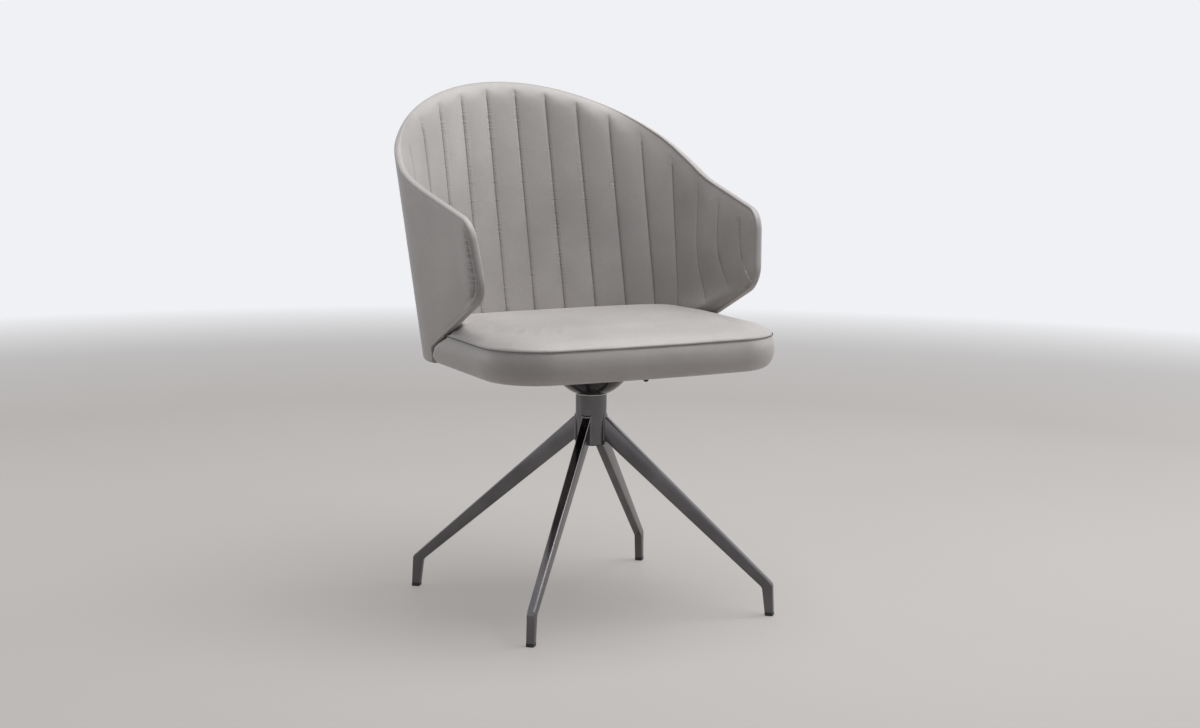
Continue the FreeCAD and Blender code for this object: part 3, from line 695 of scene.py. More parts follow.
def skin(name, run, z, surface, line_gap):
    """The surface gives the depth behind the outer face for each distance from the edge; line_gap gives the
    distance from the nearest sewing line, which the finish reads from the piece's map."""
    q = line_at(run, z)
    edge = inside(shell(run, z, 0.0)[1], z) * (1 + slope_share * smooth((slope_until - q) / slope_over))
    depth = surface(run, z, q, edge)
    x, y = shell(run, z, depth)
    half = np.stack([x, y, z + lean(q) * depth * smooth(1 - edge / lift_width)], -1)
    away = line_gap(run, z, edge)
    both = np.concatenate([half[:0:-1] * [-1, 1, 1], half])
    seam_uv = np.stack([np.concatenate([away[:0:-1], away]), np.concatenate([z[:0:-1], z])], -1)
    count, rows = both.shape[:2]
    deselect()
    bpy.ops.mesh.primitive_grid_add(x_subdivisions=count - 1, y_subdivisions=rows - 1, size=1)
    piece = added(name)
    co = np.zeros(len(piece.data.vertices) * 3)
    piece.data.vertices.foreach_get("co", co)
    co = co.reshape(-1, 3)
    i = np.rint((co[:, 0] + 0.5) * (count - 1)).astype(int)
    j = np.rint((co[:, 1] + 0.5) * (rows - 1)).astype(int)
    co = both[i, j] * MM
    co[:, 1] += axis_y
    piece.data.vertices.foreach_set("co", co.ravel())
    layer = piece.data.uv_layers.new(name="seam")
    corner = np.zeros(len(piece.data.loops), int)
    piece.data.loops.foreach_get("vertex_index", corner)
    layer.data.foreach_set("uv", (seam_uv[i, j] * MM)[corner].ravel())
    piece.data.update()
    outward(piece)
    return piece


def walled(piece, thickness):
    """Gives a skin its thickness, away from the side that is seen."""
    wall = piece.modifiers.new("wall", "SOLIDIFY")
    wall.thickness = thickness * MM
    wall.offset = -1
    apply_modifiers(piece)


# %% [markdown]
# ### The channelled pad
# Inside, the cover is sewn through the foam in upright lines, so that each channel stands proud between
# two narrow valleys. It could be done with a displacement texture, but then the rim would not roll over.
# So each point of the skin gets its depth from its distance to the nearest line and to the edge. Foam
# gives way at the arm's corners, where the padding is rounder still than the outline.

# %% Back pad
valley_depth, channel_crown, valley_sharpness, edge_roll = 3.2, 2.4, 3.4, 17.0
pad_edge_in, pad_floor, pad_start, pad_wall = 2.6, 408.0, 10.1, 1.6
rim_swell, arm_swell, crown_kept = 12.0, 38.0, 0.8
soft_above, soft_over = 455.0, 60.0
seam_fade_start, seam_fade, pad_lines_end = 8.0, 18.0, 20.0
corner_softness, softens_before, softens_over = 1.5, 20.0, 40.0


def soft_corner(y, z, edge):
    """The distance from the edge on an arm whose corners are softened."""
    total = 0.0
    for start, end in zip(side_corners[1:4], side_corners[2:5]):
        total = total + np.maximum(line_distance(y, z, start, end), 0.01) ** -corner_softness
    soft = total ** (-1 / corner_softness)
    return edge + (np.minimum(edge, soft) - edge) * smooth((softens_before - y) / softens_over)


def pad_surface(run, z, q, edge):
    away, half = seam_gap(run, z)
    share = np.clip(np.abs(away) / half, 0, 1)
    valley = valley_depth * (1 - (1 - share) ** (half / valley_sharpness))
    pillow = valley + channel_crown * np.sin(math.pi / 2 * share)
    edge = soft_corner(shell(run, z, 0.0)[1], z, edge)
    edge = np.maximum(edge - pad_edge_in * edge_share(q), 0)
    fade = smooth((edge - seam_fade_start) / seam_fade)
    full = pad_depth(z) + pillow * fade + (1 - fade) * (valley_depth + channel_crown) * crown_kept
    start = pad_start * edge_share(q)
    tight = start + (full - start) * roll(edge / edge_roll)
    width = rim_swell + (arm_swell - rim_swell) * (edge_share(q) - edge_share(0)) / (1 - edge_share(0))
    broad = start + (full - start) * (1 - np.exp(-edge / width))
    return tight + (broad - tight) * smooth((z - soft_above) / soft_over)


def pad_line_gap(run, z, edge):
    """The lines end below the rim."""
    return np.abs(seam_gap(run, z)[0]) + pad_lines_end * (1 - smooth((edge - seam_fade_start) / seam_fade))


pad_grid = laid(sewing_columns(), spread(78, 2.1), pad_edge_in, pad_floor)
print("pad grid on each side:", pad_grid[0].shape)
back_pad = skin("pad_channels", *pad_grid, pad_surface, pad_line_gap)
walled(back_pad, pad_wall)
finish_piece(back_pad, "seat", "leatherette", sewn_leather, "back_pad")

# %% [markdown]
# ### The outer cover
# Outside, one smooth skin lies straight on the plywood. Along its edge it turns in towards the seam that
# joins it to the border strip. Behind the arm's front edge it is drawn in to a puckered crease between
# two soft swells.

# %% Outer cover
cover_depth, cover_edge_in, cover_turn, cover_turn_width, cover_wall = 0.15, 2.2, 2.2, 11.0, 1.8
cover_hem, cover_hem_width = 1.6, 2.5
crease_in, crease_depth, crease_width, crease_y, crease_fade = 12.5, 1.5, 3.0, -40.0, 40.0
crease_reach, crease_lines_end = 0.7, 25.0
cover_swell, swell_in, swell_width, lip_share, lip_in, lip_width = 3.6, 34.0, 17.0, 0.4, 5.0, 4.5
column_step, end_columns = 9.0, 32


def bell(distance, width):
    """A soft bump, 1 in its middle."""
    return np.exp(-(distance / width) ** 2)


def crease_share(run, z):
    """The crease runs behind the front edge of the arm and fades out past its corners."""
    return smooth((crease_y - shell(run, z, 0.0)[1]) / crease_fade)


def cover_surface(run, z, q, edge):
    soft = soft_corner(shell(run, z, 0.0)[1], z, edge)
    beside = bell(soft - swell_in, swell_width) + lip_share * bell(soft - lip_in, lip_width)
    crease = crease_depth * bell(soft - crease_in, crease_width) - cover_swell * beside
    edge = np.maximum(edge - cover_edge_in * edge_share(q), 0)
    turned_in = cover_turn * (1 - roll(edge / cover_turn_width))
    hem = cover_hem * bell(z - shell_bottom, cover_hem_width)
    return cover_depth + turned_in + crease * crease_share(run, z) + hem


def crease_gap(run, z, edge):
    soft = soft_corner(shell(run, z, 0.0)[1], z, edge)
    return np.abs(soft - crease_in) * crease_reach + crease_lines_end * (1 - crease_share(run, z))


cover_columns = np.concatenate([np.arange(0, seams[-1] - 4, column_step), seams[-1:]])
cover_ends = np.concatenate([np.linspace(0, 0.9, end_columns)[1:], end_shares[-4:]])
cover_grid = laid(cover_columns, spread(84, 1.8), cover_edge_in, shell_bottom + 0.5, cover_ends, swing=0.0)
print("cover grid on each side:", cover_grid[0].shape)
back_cover = skin("outer_cover", *cover_grid, cover_surface, crease_gap)
walled(back_cover, cover_wall)
finish_piece(back_cover, "seat", "leatherette", creased_leather, "back_cover")

# %% [markdown]
# ### The border strip
# Along the whole edge runs a narrow strip of leatherette, pulled round the edge of the plywood and sewn
# to the cover on one side and to the pad on the other. A bevelled curve could follow it too, but would turn
# the bead as the curve turns and not as the shell does. So it is swept: a small profile is set up at each
# station of the outline, as wide as the strip is there, and joined to the next. The profile's face is half
# round, and its last three points close it on the side that isn't seen.

# %% Border strip
bead_in, bead_start, bead_fullness, bead_steps, bead_clear = 3.4, 0.25, 0.6, 12, 0.1
tuck_edge, tuck_in, tuck_deepest = 0.6, 2.0, 2.6
arm_ends_at, foot_below, above_bottom, station_step, rim_stations = 93.0, 600.0, 0.8, 5.0, 75
turns = math.pi * np.arange(bead_steps + 1) / bead_steps
bead_depth = bead_start + (border_width - bead_clear) / 2 * (1 - np.cos(turns))
bead_inset = bead_in * (1 - np.sin(turns) ** bead_fullness)
bead_depth = np.concatenate([bead_depth, [border_width - tuck_edge, border_width / 2, tuck_edge]])
bead_inset = np.concatenate([bead_inset, [bead_in + tuck_in, bead_in + tuck_deepest, bead_in + tuck_in]])


def arm_stretch():
    """The strip from the shell's foot round the arm to where the arm begins to bend."""
    lines = np.stack([outline(inset)[:-1] for inset in bead_inset])[:, ::-1]
    steps = lengths(side_line[:-1][::-1])
    at = np.union1d(steps, np.arange(0, steps[-1], station_step))
    numbers = np.arange(len(steps))
    index = np.interp(at, steps, numbers)
    y, z = (np.stack([np.interp(index, numbers, line[:, k]) for line in lines], 1) for k in (0, 1))
    wanted = (z[:, 0] > shell_bottom + above_bottom) & ((y[:, 0] < arm_ends_at) | (z[:, 0] < foot_below))
    y, z = y[wanted], z[wanted]
    depth = bead_depth[None, :] * edge_share(arm_line(arm_run(y, z, 0.0), z))
    return np.stack([arm_place(y, z, depth), y, z + flare * depth], -1)


def rim_stretch(q_start):
    """The strip along the rim, from the arm to the middle of the back."""
    q = np.linspace(q_start, 0, rim_stations)[1:, None]
    inset = bead_inset[None, :] * edge_share(q)
    depth = bead_depth[None, :] * edge_share(q)
    z = column_top(q, inset)
    x, y = shell(run_at(q, z), z, depth)
    return np.stack([x, y, z + lean(q) * depth], -1)


def swept(name, loops, ends=True):
    """Joins closed loops of points into a tube, with or without its two end faces."""
    mesh = bpy.data.meshes.new(name)
    count, around = loops.shape[:2]
    vertices = loops.reshape(-1, 3) * MM + axis_place
    faces = []
    for i in range(count - 1):
        for k in range(around):
            n = (k + 1) % around
            faces.append((i * around + k, i * around + n, (i + 1) * around + n, (i + 1) * around + k))
    if ends:
        faces.append(tuple(range(around))[::-1])
        faces.append(tuple((count - 1) * around + k for k in range(around)))
    mesh.from_pydata(vertices.tolist(), [], faces)
    piece = bpy.data.objects.new(name, mesh)
    bpy.context.scene.collection.objects.link(piece)
    return piece


arm = arm_stretch()
arm_stop = arm[-1, 0]
right = np.concatenate([arm, rim_stretch(line_at(arm_run(arm_stop[1], arm_stop[2], 0.0), arm_stop[2]))])
loops = np.concatenate([right, right[:-1][::-1] * [-1, 1, 1]])
print("border stations and points of each:", loops.shape[:2])
border = swept("border_strip", loops)
outward(border)
finish_piece(border, "seat", "leatherette", plain_leather, angle=50)

# %% [markdown]
# ## The seat cushion
# The cushion is a drawn-in side band and a crowned top that meet in one sewn seam. Its plan has a
# straight front, wide round corners, sides that taper to the rear and a rear that follows the back pad. A
# rounded box would have none of this, so rings of that plan at rising heights are joined into a closed
# form. The crown is full in front and sinks towards the rear.

# %% Sizes of the seat, in millimetres about the swivel axis
seat_bottom, seat_seam, crown_rise, seam_in, arm_front_of_seat = 391.0, 443.0, 26.5, 2.8, 87.0
seat_half_front, seat_half_rear, seat_front, front_bow, seat_corner = 253.0, 244.0, 212.0, 5.0, 92.0
front_points, corner_points, side_points, tail_points, bend_points, back_points = 18, 18, 14, 6, 12, 20
pad_gap, crown_falls_from, crown_falls_over, crown_fall_power, crown_least = 6.6, 40.0, 215.0, 1.3, 0.04
band_shape = [(0.0, 24.0), (0.02, 15.0), (0.06, 9.5), (0.13, 5.0), (0.22, 2.0), (0.34, -0.8), (0.48, -2.4),
              (0.62, -2.8), (0.75, -2.3), (0.86, -1.0), (0.94, 0.5), (0.985, 1.9)]
crown_shape = [(0.03, 1.6, 0.4), (0.09, 1.2, 0.3), (0.17, 1.9, 0.5), (0.27, 3.4, 0.8), (0.37, 5.8, 1.2),
               (0.47, 9.2, 2.0), (0.56, 13.6, 3.2), (0.65, 19.2, 5.4), (0.73, 26.0, 8.6), (0.8, 34.5, 13.4),
               (0.86, 44.5, 20.0), (0.91, 56.0, 29.0), (0.95, 69.0, 40.0), (0.975, 83.0, 53.0),
               (0.99, 99.0, 66.0)]
rear_in = pad_low + pad_gap
band_rear_share, crown_corner_share = 0.5, 0.55


def seat_ring(height, side_in, rear_depth, corner):
    """One closed ring of the seat's plan, counter-clockwise from the middle of the front."""
    radius, bend_radius, back_centre, corner_centre = plan(height)
    side_x = seat_half_front - side_in
    shoulder = -seat_front + side_in + front_bow
    edge_x = side_x - corner

    def shares(count):
        return np.arange(count) / count

    def bend(turn):
        return np.stack([side_step + (bend_radius - rear_depth) * np.sin(turn),
                         corner_centre + (bend_radius - rear_depth) * np.cos(turn)], -1)

    def between(start, stop, count):
        return start + (stop - start) * shares(count)[:, None]

    x = edge_x * shares(front_points)
    front = np.stack([x, shoulder - front_bow * (1 - (x / edge_x) ** 2)], -1)
    turn = math.pi / 2 * shares(corner_points)
    round_corner = np.stack([edge_x + corner * np.sin(turn), shoulder + corner * (1 - np.cos(turn))], -1)
    side_start = np.array([side_x, shoulder + corner])
    side_stop = np.array([seat_half_rear - side_in, arm_front_of_seat])
    turn = meet_angle * (1 - np.arange(back_points + 1) / back_points)
    back = np.stack([(radius - rear_depth) * np.sin(turn),
                     back_centre + (radius - rear_depth) * np.cos(turn)], -1)
    half = np.concatenate([front, round_corner, between(side_start, side_stop, side_points),
                           between(side_stop, bend(end_angle), tail_points),
                           bend(between(end_angle, meet_angle, bend_points)[:, 0]), back])
    ring = np.concatenate([half, half[1:-1][::-1] * [-1, 1]])
    return np.concatenate([ring, np.full((len(ring), 1), height)], 1)


def crown_share(y):
    """The crown is full in front and sinks to the seam's level where it meets the back."""
    fallen = (np.clip(y - crown_falls_from, 0, None) / crown_falls_over) ** crown_fall_power
    return np.clip(1 - fallen, crown_least, 1)


band_rings = []
for share, inset in band_shape:
    height = seat_bottom + share * (seat_seam - seat_bottom)
    rear_depth = rear_in + max(inset, 0) * band_rear_share
    band_rings.append(seat_ring(height, inset, rear_depth, seat_corner - inset))
seam_ring = seat_ring(seat_seam, seam_in, rear_in, seat_corner - seam_in)
crown_rings = []
for share, inset, rear_step in crown_shape:
    corner = seat_corner - inset * crown_corner_share
    crown_rings.append(seat_ring(seat_seam + share * crown_rise, inset, rear_in + rear_step, corner))
crown_rings = np.array(crown_rings)
crown_rings[..., 2] = seat_seam + (crown_rings[..., 2] - seat_seam) * crown_share(crown_rings[..., 1])

# %% [markdown]
# The arms reach down beside the cushion, so it is pressed in where they stand. Smaller and smaller copies
# of the first and last ring close the form, so that bottom and top stay smooth where one big face would
# pinch.

# %% Cushion
arm_gap, arm_edge_depth, arm_behind, outside_arm = 1.0, 7.0, 110.0, -100.0
seat_middle, middle_rise = 30.0, 1.8
closing_shares = (0.84, 0.66, 0.48, 0.3, 0.14, 0.04)


def clear_of_arms(points):
    """Presses the cushion in where the pad of an arm stands."""
    x, y, z = points[..., 0], points[..., 1], points[..., 2]
    edge = inside(y, z)
    full = pad_depth(z) + valley_depth + channel_crown
    pad_face = arm_edge_depth + (full - arm_edge_depth) * roll((edge + arm_gap) / edge_roll)
    depth = np.where(edge > -arm_gap, pad_face, outside_arm) + arm_gap
    limit = arm_place(y, z, depth)
    near = (edge > -arm_gap) & (y < arm_behind) & (np.abs(x) > limit)
    points[..., 0] = np.where(near, np.sign(x) * limit, x)
    return points


def closing(ring, shares, rise=0.0):
    """Ever smaller copies of a ring that close a form; the middle one lies higher by the rise."""
    middle = np.array([0.0, seat_middle, 0.0])
    smaller = []
    for share in shares:
        copy = middle + (ring - middle) * share
        copy[:, 2] = ring[:, 2]
        if rise:
            in_front = (ring[:, 2] - seat_seam) / crown_share(ring[:, 1]) + rise * (1 - share ** 2)
            copy[:, 2] = seat_seam + in_front * crown_share(copy[:, 1])
        smaller.append(copy)
    return smaller


rings = clear_of_arms(np.concatenate([band_rings, [seam_ring], crown_rings]))
seam_ring = rings[len(band_rings)]
print("seat rings and points of each:", rings.shape[:2])
under = closing(rings[0], closing_shares)[::-1]
over = closing(rings[-1], closing_shares, middle_rise)
cushion = swept("seat_cushion", np.concatenate([under, rings, over]), ends=False)
subdivision = cushion.modifiers.new("soft", "SUBSURF")
subdivision.levels = 1
subdivision.render_levels = 1
apply_modifiers(cushion)
outward(cushion, holes=True)

# %% [markdown]
# Foam under a tight cover never lies quite even. A copy of the cushion is remeshed and blown up a little
# as simulated cloth, held along its seam and its bottom. The copy's movement is then carried over to the
# real cushion point by point, because remeshing would have wiped out the seam.

# %% Cloth simulation of the cushion
voxel, cloth_pressure, cloth_frames, cloth_mass, cloth_stiffness = 6.0, 1.6, 20, 0.4, 25
most_swell, held_near_seam, held_bottom = 2.6, 5.0, 8.0
free_above_seam, free_below_seam, free_above_bottom, neighbours = 9.0, 12.0, 14.0, 6


def places(mesh):
    """The places of all points of a mesh, in metres."""
    found = np.zeros(len(mesh.vertices) * 3)
    mesh.vertices.foreach_get("co", found)
    return found.reshape(-1, 3)


def swollen(piece):
    """Points of a remeshed copy before the simulation, and how far each has moved."""
    copy = copied(piece, "cushion_cloth")
    remesh = copy.modifiers.new("remesh", "REMESH")
    remesh.mode = "VOXEL"
    remesh.voxel_size = voxel * MM
    apply_modifiers(copy)
    before = places(copy.data)
    seam_side = seam_ring * MM + axis_place
    to_seam = np.array([np.linalg.norm(seam_side - point, axis=1).min() for point in before]) / MM
    still = (to_seam < held_near_seam) | (before[:, 2] / MM < seat_bottom + held_bottom)
    held = copy.vertex_groups.new(name="held")
    held.add(np.nonzero(still)[0].tolist(), 1.0, "ADD")
    settings = copy.modifiers.new("cloth", "CLOTH").settings
    settings.quality = 6
    settings.mass = cloth_mass
    settings.tension_stiffness = cloth_stiffness
    settings.compression_stiffness = cloth_stiffness
    settings.use_pressure = True
    settings.uniform_pressure_force = cloth_pressure
    settings.vertex_group_mass = "held"
    settings.effector_weights.gravity = 0
    for number in range(1, cloth_frames + 1):
        bpy.context.scene.frame_set(number)
    evaluated = copy.evaluated_get(bpy.context.evaluated_depsgraph_get())
    moved = places(evaluated.data) - before
    bpy.context.scene.frame_set(1)
    bpy.data.objects.remove(copy)
    return before, moved


def carry_over(piece, before, moved):
    """Moves each point of a piece as its neighbours in the simulated copy have moved, up to a limit."""
    length = np.linalg.norm(moved, axis=1)
    print(f"cloth moved up to {length.max() / MM:.1f} mm, {len(before)} points")
    moved = moved * np.minimum(1, most_swell * MM / np.maximum(length, 1e-9))[:, None]
    tree = KDTree(len(before))
    for number, point in enumerate(before):
        tree.insert(point, number)
    tree.balance()
    for vertex in piece.data.vertices:
        near = tree.find_n(vertex.co, neighbours)
        weights = np.array([1 / (gap + MM) for _, _, gap in near])
        shift = (moved[[number for _, number, _ in near]] * weights[:, None]).sum(0) / weights.sum()
        level = vertex.co.z / MM
        free = smooth((seat_seam - level) / free_below_seam)
        if level > seat_seam:
            free = smooth((level - seat_seam) / free_above_seam) * crown_share((vertex.co.y - axis_y) / MM)
        vertex.co += Vector(shift * float(free * smooth((level - seat_bottom) / free_above_bottom)))


carry_over(cushion, *swollen(cushion))
points = clear_of_arms(places(cushion.data) / MM - axis_place / MM)
cushion.data.vertices.foreach_set("co", ((points + axis_place / MM) * MM).ravel())
cushion.data.update()
finish_piece(cushion, "seat", "leatherette", plain_leather, "seat_top", "seat_band", "seat_core")

# %% [markdown]
# A thin black cloth closes the seat from below. It is turned under all round and stapled a thumb's width
# inside the cushion's edge, so nothing of it shows from the side. Its rings come from the same plan as
# the cushion's.

# %% Dust cover
dust_top, dust_bottom = (level / MM for level in (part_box("dust_cover")[1][2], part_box("dust_cover")[0][2]))
dust_inset, dust_rear, dust_corner, dust_turn = 30.0, 16.0, 0.8, 0.6
dust_shape = ((dust_top - 0.1, dust_turn), (dust_top - 0.5, 0.0), (dust_bottom + 0.5, 0.0),
               (dust_bottom + 0.1, dust_turn))
few_shares = (0.7, 0.35, 0.05)
dust_rings = [seat_ring(level, dust_inset + step, rear_in + dust_rear + step,
                         seat_corner - dust_inset * dust_corner) for level, step in dust_shape]
over, under = closing(dust_rings[0], few_shares), closing(dust_rings[-1], few_shares)
dust_cloth = swept("dust_cloth", np.array(over[::-1] + dust_rings + under))
outward(dust_cloth)
finish_piece(dust_cloth, "seat", "lining", lining, "dust_cover", angle=40)

# %% [markdown]
# The seam is closed with a fine lockstitch. One stitch is a small rounded bar; it is modelled once and
# copied along the seam at an even pitch, and the copies are joined into one piece.

# %% Stitches of the seat seam
stitch_pitch, stitch_length, stitch_radius, stitch_out, stitch_rise = 4.6, 2.8, 0.75, 2.1, 1.8


def stitch_line(name, path, out):
    """Bars of thread along a path; out is the outward direction at each point."""
    deselect()
    bpy.ops.mesh.primitive_uv_sphere_add(segments=8, ring_count=6, radius=1)
    bar = added(name)
    bar.scale = Vector((stitch_length / 2, stitch_radius, stitch_radius)) * MM
    settle(bar)
    steps = lengths(path)

    def along(values, distance):
        return Vector([np.interp(distance, steps, values[:, k]) for k in range(3)])

    copies = []
    for at in np.arange(stitch_pitch, steps[-1] - stitch_pitch, stitch_pitch):
        centre = along(path, at)
        ahead = (along(path, at + 1) - centre).normalized()
        side = ahead.cross(along(out, at)).normalized()
        one = copied(bar, name)
        turn = Matrix((ahead, side.cross(ahead), side)).transposed().to_4x4()
        one.matrix_world = Matrix.Translation(centre * MM + Vector(axis_place)) @ turn
        copies.append(one)
    bpy.data.objects.remove(bar)
    deselect()
    for one in copies:
        one.select_set(True)
    bpy.context.view_layer.objects.active = copies[0]
    bpy.ops.object.join()
    return added(name)


half_count = front_points + corner_points + side_points
front = np.concatenate([seam_ring[-half_count:], seam_ring[:half_count + 1]])
tangent = np.gradient(front, axis=0)
outwards = np.stack([tangent[:, 1], -tangent[:, 0], np.zeros(len(front))], 1)
outwards /= np.linalg.norm(outwards, axis=1)[:, None]
path = front + outwards * stitch_out + np.array([0, 0, stitch_rise])
stitches = stitch_line("seat_stitches", path, outwards)
finish_piece(stitches, "seat", "leatherette", thread)

# %% [markdown]
# ## The base
# Each leg is a folded, tapered box section. A bevelled curve would round its flat sides, so it is shaped
# from a cube, as one would do it by hand. In the leg's own side view, u is the distance from the hub's
# axis and the second number is the height.

# %% Sizes of the base, in millimetres
hub_radius, leg_start = 25.0, 15.0
leg_top_hub, leg_bottom_hub, leg_width_hub, leg_width_foot = 306.0, 267.0, 14.0, 12.5
foot_radius_at, foot_depth, glide_height = 300.0, 13.5, 6.0
knee_outer, knee_inner = (304.75, 52.0), (288.25, 45.5)
knee_radius, corner_radius = 4.2, 1.8
top_slope = (knee_outer[1] - leg_top_hub) / (knee_outer[0] - hub_radius)
bottom_slope = (knee_inner[1] - leg_bottom_hub) / (knee_inner[0] - hub_radius)
start_top = (leg_start, leg_top_hub + top_slope * (leg_start - hub_radius))
start_bottom = (leg_start, leg_bottom_hub + bottom_slope * (leg_start - hub_radius))
foot_outer = (foot_radius_at + foot_depth / 2, glide_height)
foot_inner = (foot_radius_at - foot_depth / 2, glide_height)


def leg_half_width(u):
    """A leg is widest at the hub and tapers to its foot."""
    share = (u - hub_radius) / (foot_radius_at - hub_radius)
    return (leg_width_hub + (leg_width_foot - leg_width_hub) * share) / 2


# %% [markdown]
# In edit mode points and edges are chosen by their place, as one would box-select them by hand.

# %% Selecting by place, in edit mode
def choose(piece, test):
    """Selects the points whose place in millimetres passes the test, and what lies between them."""
    bpy.ops.mesh.select_mode(type="VERT")
    bpy.ops.mesh.select_all(action="DESELECT")
    data = bmesh.from_edit_mesh(piece.data)
    for vertex in data.verts:
        vertex.select_set(bool(test(vertex.co / MM)))
    data.select_flush(True)
    bmesh.update_edit_mesh(piece.data)
    return [vertex.co / MM for vertex in data.verts if vertex.select]


def choose_edges(piece, test):
    """Selects the edges whose two ends, in millimetres, and angle pass the test."""
    bpy.ops.mesh.select_all(action="DESELECT")
    bpy.ops.mesh.select_mode(type="EDGE")
    data = bmesh.from_edit_mesh(piece.data)
    for edge in data.edges:
        a, b = (vertex.co / MM for vertex in edge.verts)
        edge.select_set(bool(test(a, b, edge.calc_face_angle(0))))
    bmesh.update_edit_mesh(piece.data)


def draw_to(piece, test, place):
    """Draws the chosen edge to a place in the leg's side view and gives it the leg's width there."""
    chosen = choose(piece, test)
    middle = sum(chosen, Vector()) / len(chosen)
    half = max(abs(point.y) for point in chosen)
    bpy.ops.transform.resize(value=(1, leg_half_width(place[0]) / half, 1))
    bpy.ops.transform.translate(value=((place[0] - middle.x) * MM, 0, (place[1] - middle.z) * MM))


# %% [markdown]
# A cube is set where the leg runs, its four end edges are drawn to their places, the end is extruded down
# into the foot, the knee is rounded with a bevel, and then the long corners get the small radius that
# catches the light.

# %% One leg
cube_height, cube_level, halfway, foot_drop, near_end = 100.0, 150.0, 150.0, 30.0, 280.0
knee_band, between_foot_edges, just = (40.0, 60.0), 297.0, 0.001


def knee_edge(a, b, angle):
    return abs(a.y + b.y) < just and knee_band[0] < a.z < knee_band[1]


def long_corner(a, b, angle):
    on_side = a.y * b.y > 0
    at_foot = max(a.z, b.z) < glide_height + just
    at_hub = max(a.x, b.x) < leg_start + 1
    return on_side and not at_foot and not at_hub and angle > math.radians(60)


deselect()
reach = knee_outer[0] - leg_start
bpy.ops.mesh.primitive_cube_add(size=MM, location=((leg_start + reach / 2) * MM, 0, cube_level * MM),
                                scale=(reach, leg_width_hub, cube_height))
leg_form = added("leg_form")
settle(leg_form)
only(leg_form)
bpy.ops.object.mode_set(mode="EDIT")
draw_to(leg_form, lambda p: p.x < halfway and p.z > cube_level, start_top)
draw_to(leg_form, lambda p: p.x < halfway and p.z < cube_level, start_bottom)
draw_to(leg_form, lambda p: p.x > halfway and p.z > cube_level, knee_outer)
draw_to(leg_form, lambda p: p.x > halfway and p.z > knee_band[1], knee_inner)
choose(leg_form, lambda p: p.x > near_end)
bpy.ops.mesh.extrude_region_move(TRANSFORM_OT_translate={"value": (0, 0, -foot_drop * MM)})
draw_to(leg_form, lambda p: p.x > between_foot_edges and p.z < foot_drop, foot_outer)
draw_to(leg_form, lambda p: near_end < p.x < between_foot_edges and p.z < foot_drop, foot_inner)
choose_edges(leg_form, knee_edge)
bpy.ops.mesh.bevel(offset=knee_radius * MM, segments=5, affect="EDGES")
choose_edges(leg_form, long_corner)
bpy.ops.mesh.bevel(offset=corner_radius * MM, segments=4, affect="EDGES", clamp_overlap=True)
outward(leg_form)

# %% [markdown]
# The leg is copied to the four corners. Weighted normals keep its flat faces flat beside the bevels.

# %% Four legs and their glides
leg_places = {"back_right": 45, "back_left": 135, "front_left": 225, "front_right": 315}
for place, angle in leg_places.items():
    piece = copied(leg_form, "leg_form_" + place)
    piece.rotation_euler.z = math.radians(angle)
    piece.location.y = axis_y
    settle(piece)
    weighted = piece.modifiers.new("weighted", "WEIGHTED_NORMAL")
    weighted.keep_sharp = True
    apply_modifiers(piece)
    finish_piece(piece, "base", "dark_nickel", dark_nickel, "leg_" + place, angle=35)
    coat(frame["nodes"]["glide_" + place], black_plastic)
bpy.data.objects.remove(leg_form)

# %% [markdown]
# ## Stage, light and camera
# A pale floor melts into a white surround. Where they are seen they look as written; where they only
# throw light on the chair they are weaker, so that the lamps model it.

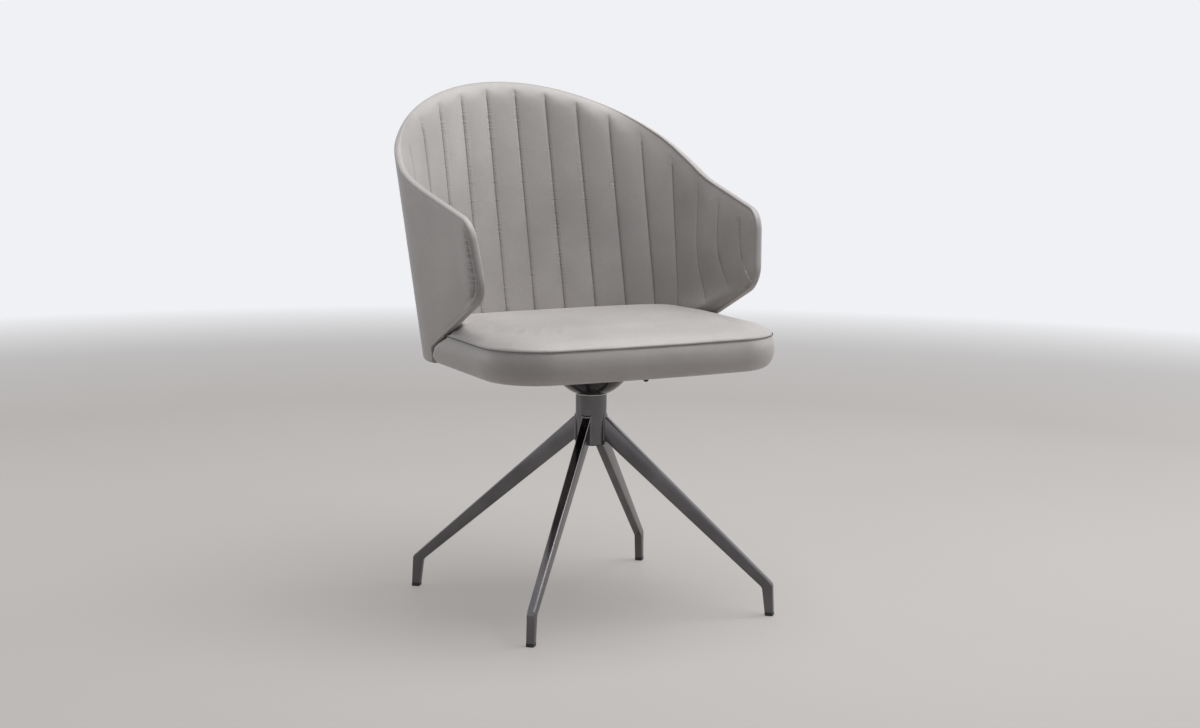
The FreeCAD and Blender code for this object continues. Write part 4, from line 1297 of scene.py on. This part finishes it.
# %% Floor and surround
floor_radius, fade_from, fade_to, plain_least, surround_light = 14, 2.0, 3.8, 0.5, 0.17
floor_colour, floor_cloud, wall_colour = seen(187, 183, 180), seen(193, 189, 186), seen(240, 241, 244)
deselect()
bpy.ops.mesh.primitive_circle_add(vertices=96, radius=floor_radius, fill_type="NGON", location=(0, 0, 0))
floor = added("floor")
n = Paint("floor_paint")
distance = n.add("ShaderNodeVectorMath", {0: n.place}, operation="LENGTH").outputs["Value"]
fade = n.ramp(distance, fade_from, fade_to, 0.0, 1.0)
cloud = n.ramp(n.noise(0.8, 2.0), 0.3, 0.7, 0.0, 1.0)
n.set(Base_Color=n.blend(cloud, floor_colour, floor_cloud), Roughness=0.6)
plain = n.add("ShaderNodeEmission", {"Color": n.blend(fade, floor_colour, wall_colour), "Strength": 1.0})
share = n.math("MULTIPLY", n.math("MAXIMUM", fade, plain_least), n.seen_plainly())
mix = n.add("ShaderNodeMixShader", {0: share, 1: n.end.outputs[0], 2: plain.outputs[0]})
n.tree.links.new(mix.outputs[0], n.tree.nodes["Material Output"].inputs["Surface"])
coat(floor, n.material)

world = bpy.data.worlds.new("surround")
bpy.context.scene.world = world
n = Nodes(world, "Background")
n.set(Color=wall_colour, Strength=n.ramp(n.seen_plainly(), 0.0, 1.0, surround_light, 1.0))

# %% [markdown]
# A large soft lamp hangs overhead and two weak ones stand at the sides: a plain level of light at which
# each colour looks as it was written.

# %% Lamps
lamps_look_at = Vector((0, 0, 0.45))


def lamp(name, place, size, watts):
    deselect()
    bpy.ops.object.light_add(type="AREA", location=place)
    light = bpy.context.object
    light.name = name
    light.data.shape = "SQUARE"
    light.data.size = size
    light.data.energy = watts
    light.rotation_euler = (lamps_look_at - Vector(place)).to_track_quat("-Z", "Y").to_euler()


lamp("overhead", (0.7, -0.3, 3.1), 2.6, 105)
lamp("right_window", (2.9, -0.9, 1.4), 1.6, 30)
lamp("left_fill", (-2.3, 1.6, 0.9), 1.4, 16)

# %% [markdown]
# The camera stands where the photograph was taken. Its place and its three axes come from the four feet,
# which stand on a square, and from the level seam of the seat.

# %% Camera at the photograph's place
camera_place = Vector((-1.76921, -3.30538 + axis_y, 0.95363))
right_axis = Vector((0.88067, -0.47360, 0.01090))
up_axis = Vector((0.06106, 0.13629, 0.98878))
back_axis = Vector((-0.46977, -0.87013, 0.14895))
camera = bpy.data.objects.new("camera", bpy.data.cameras.new("camera"))
bpy.context.scene.collection.objects.link(camera)
camera.data.sensor_width = 36
camera.data.lens = 70.87
turn = Matrix((right_axis, up_axis, back_axis)).transposed().to_4x4()
camera.matrix_world = Matrix.Translation(camera_place) @ turn
bpy.context.scene.camera = camera
bpy.context.scene.view_settings.view_transform = "Standard"
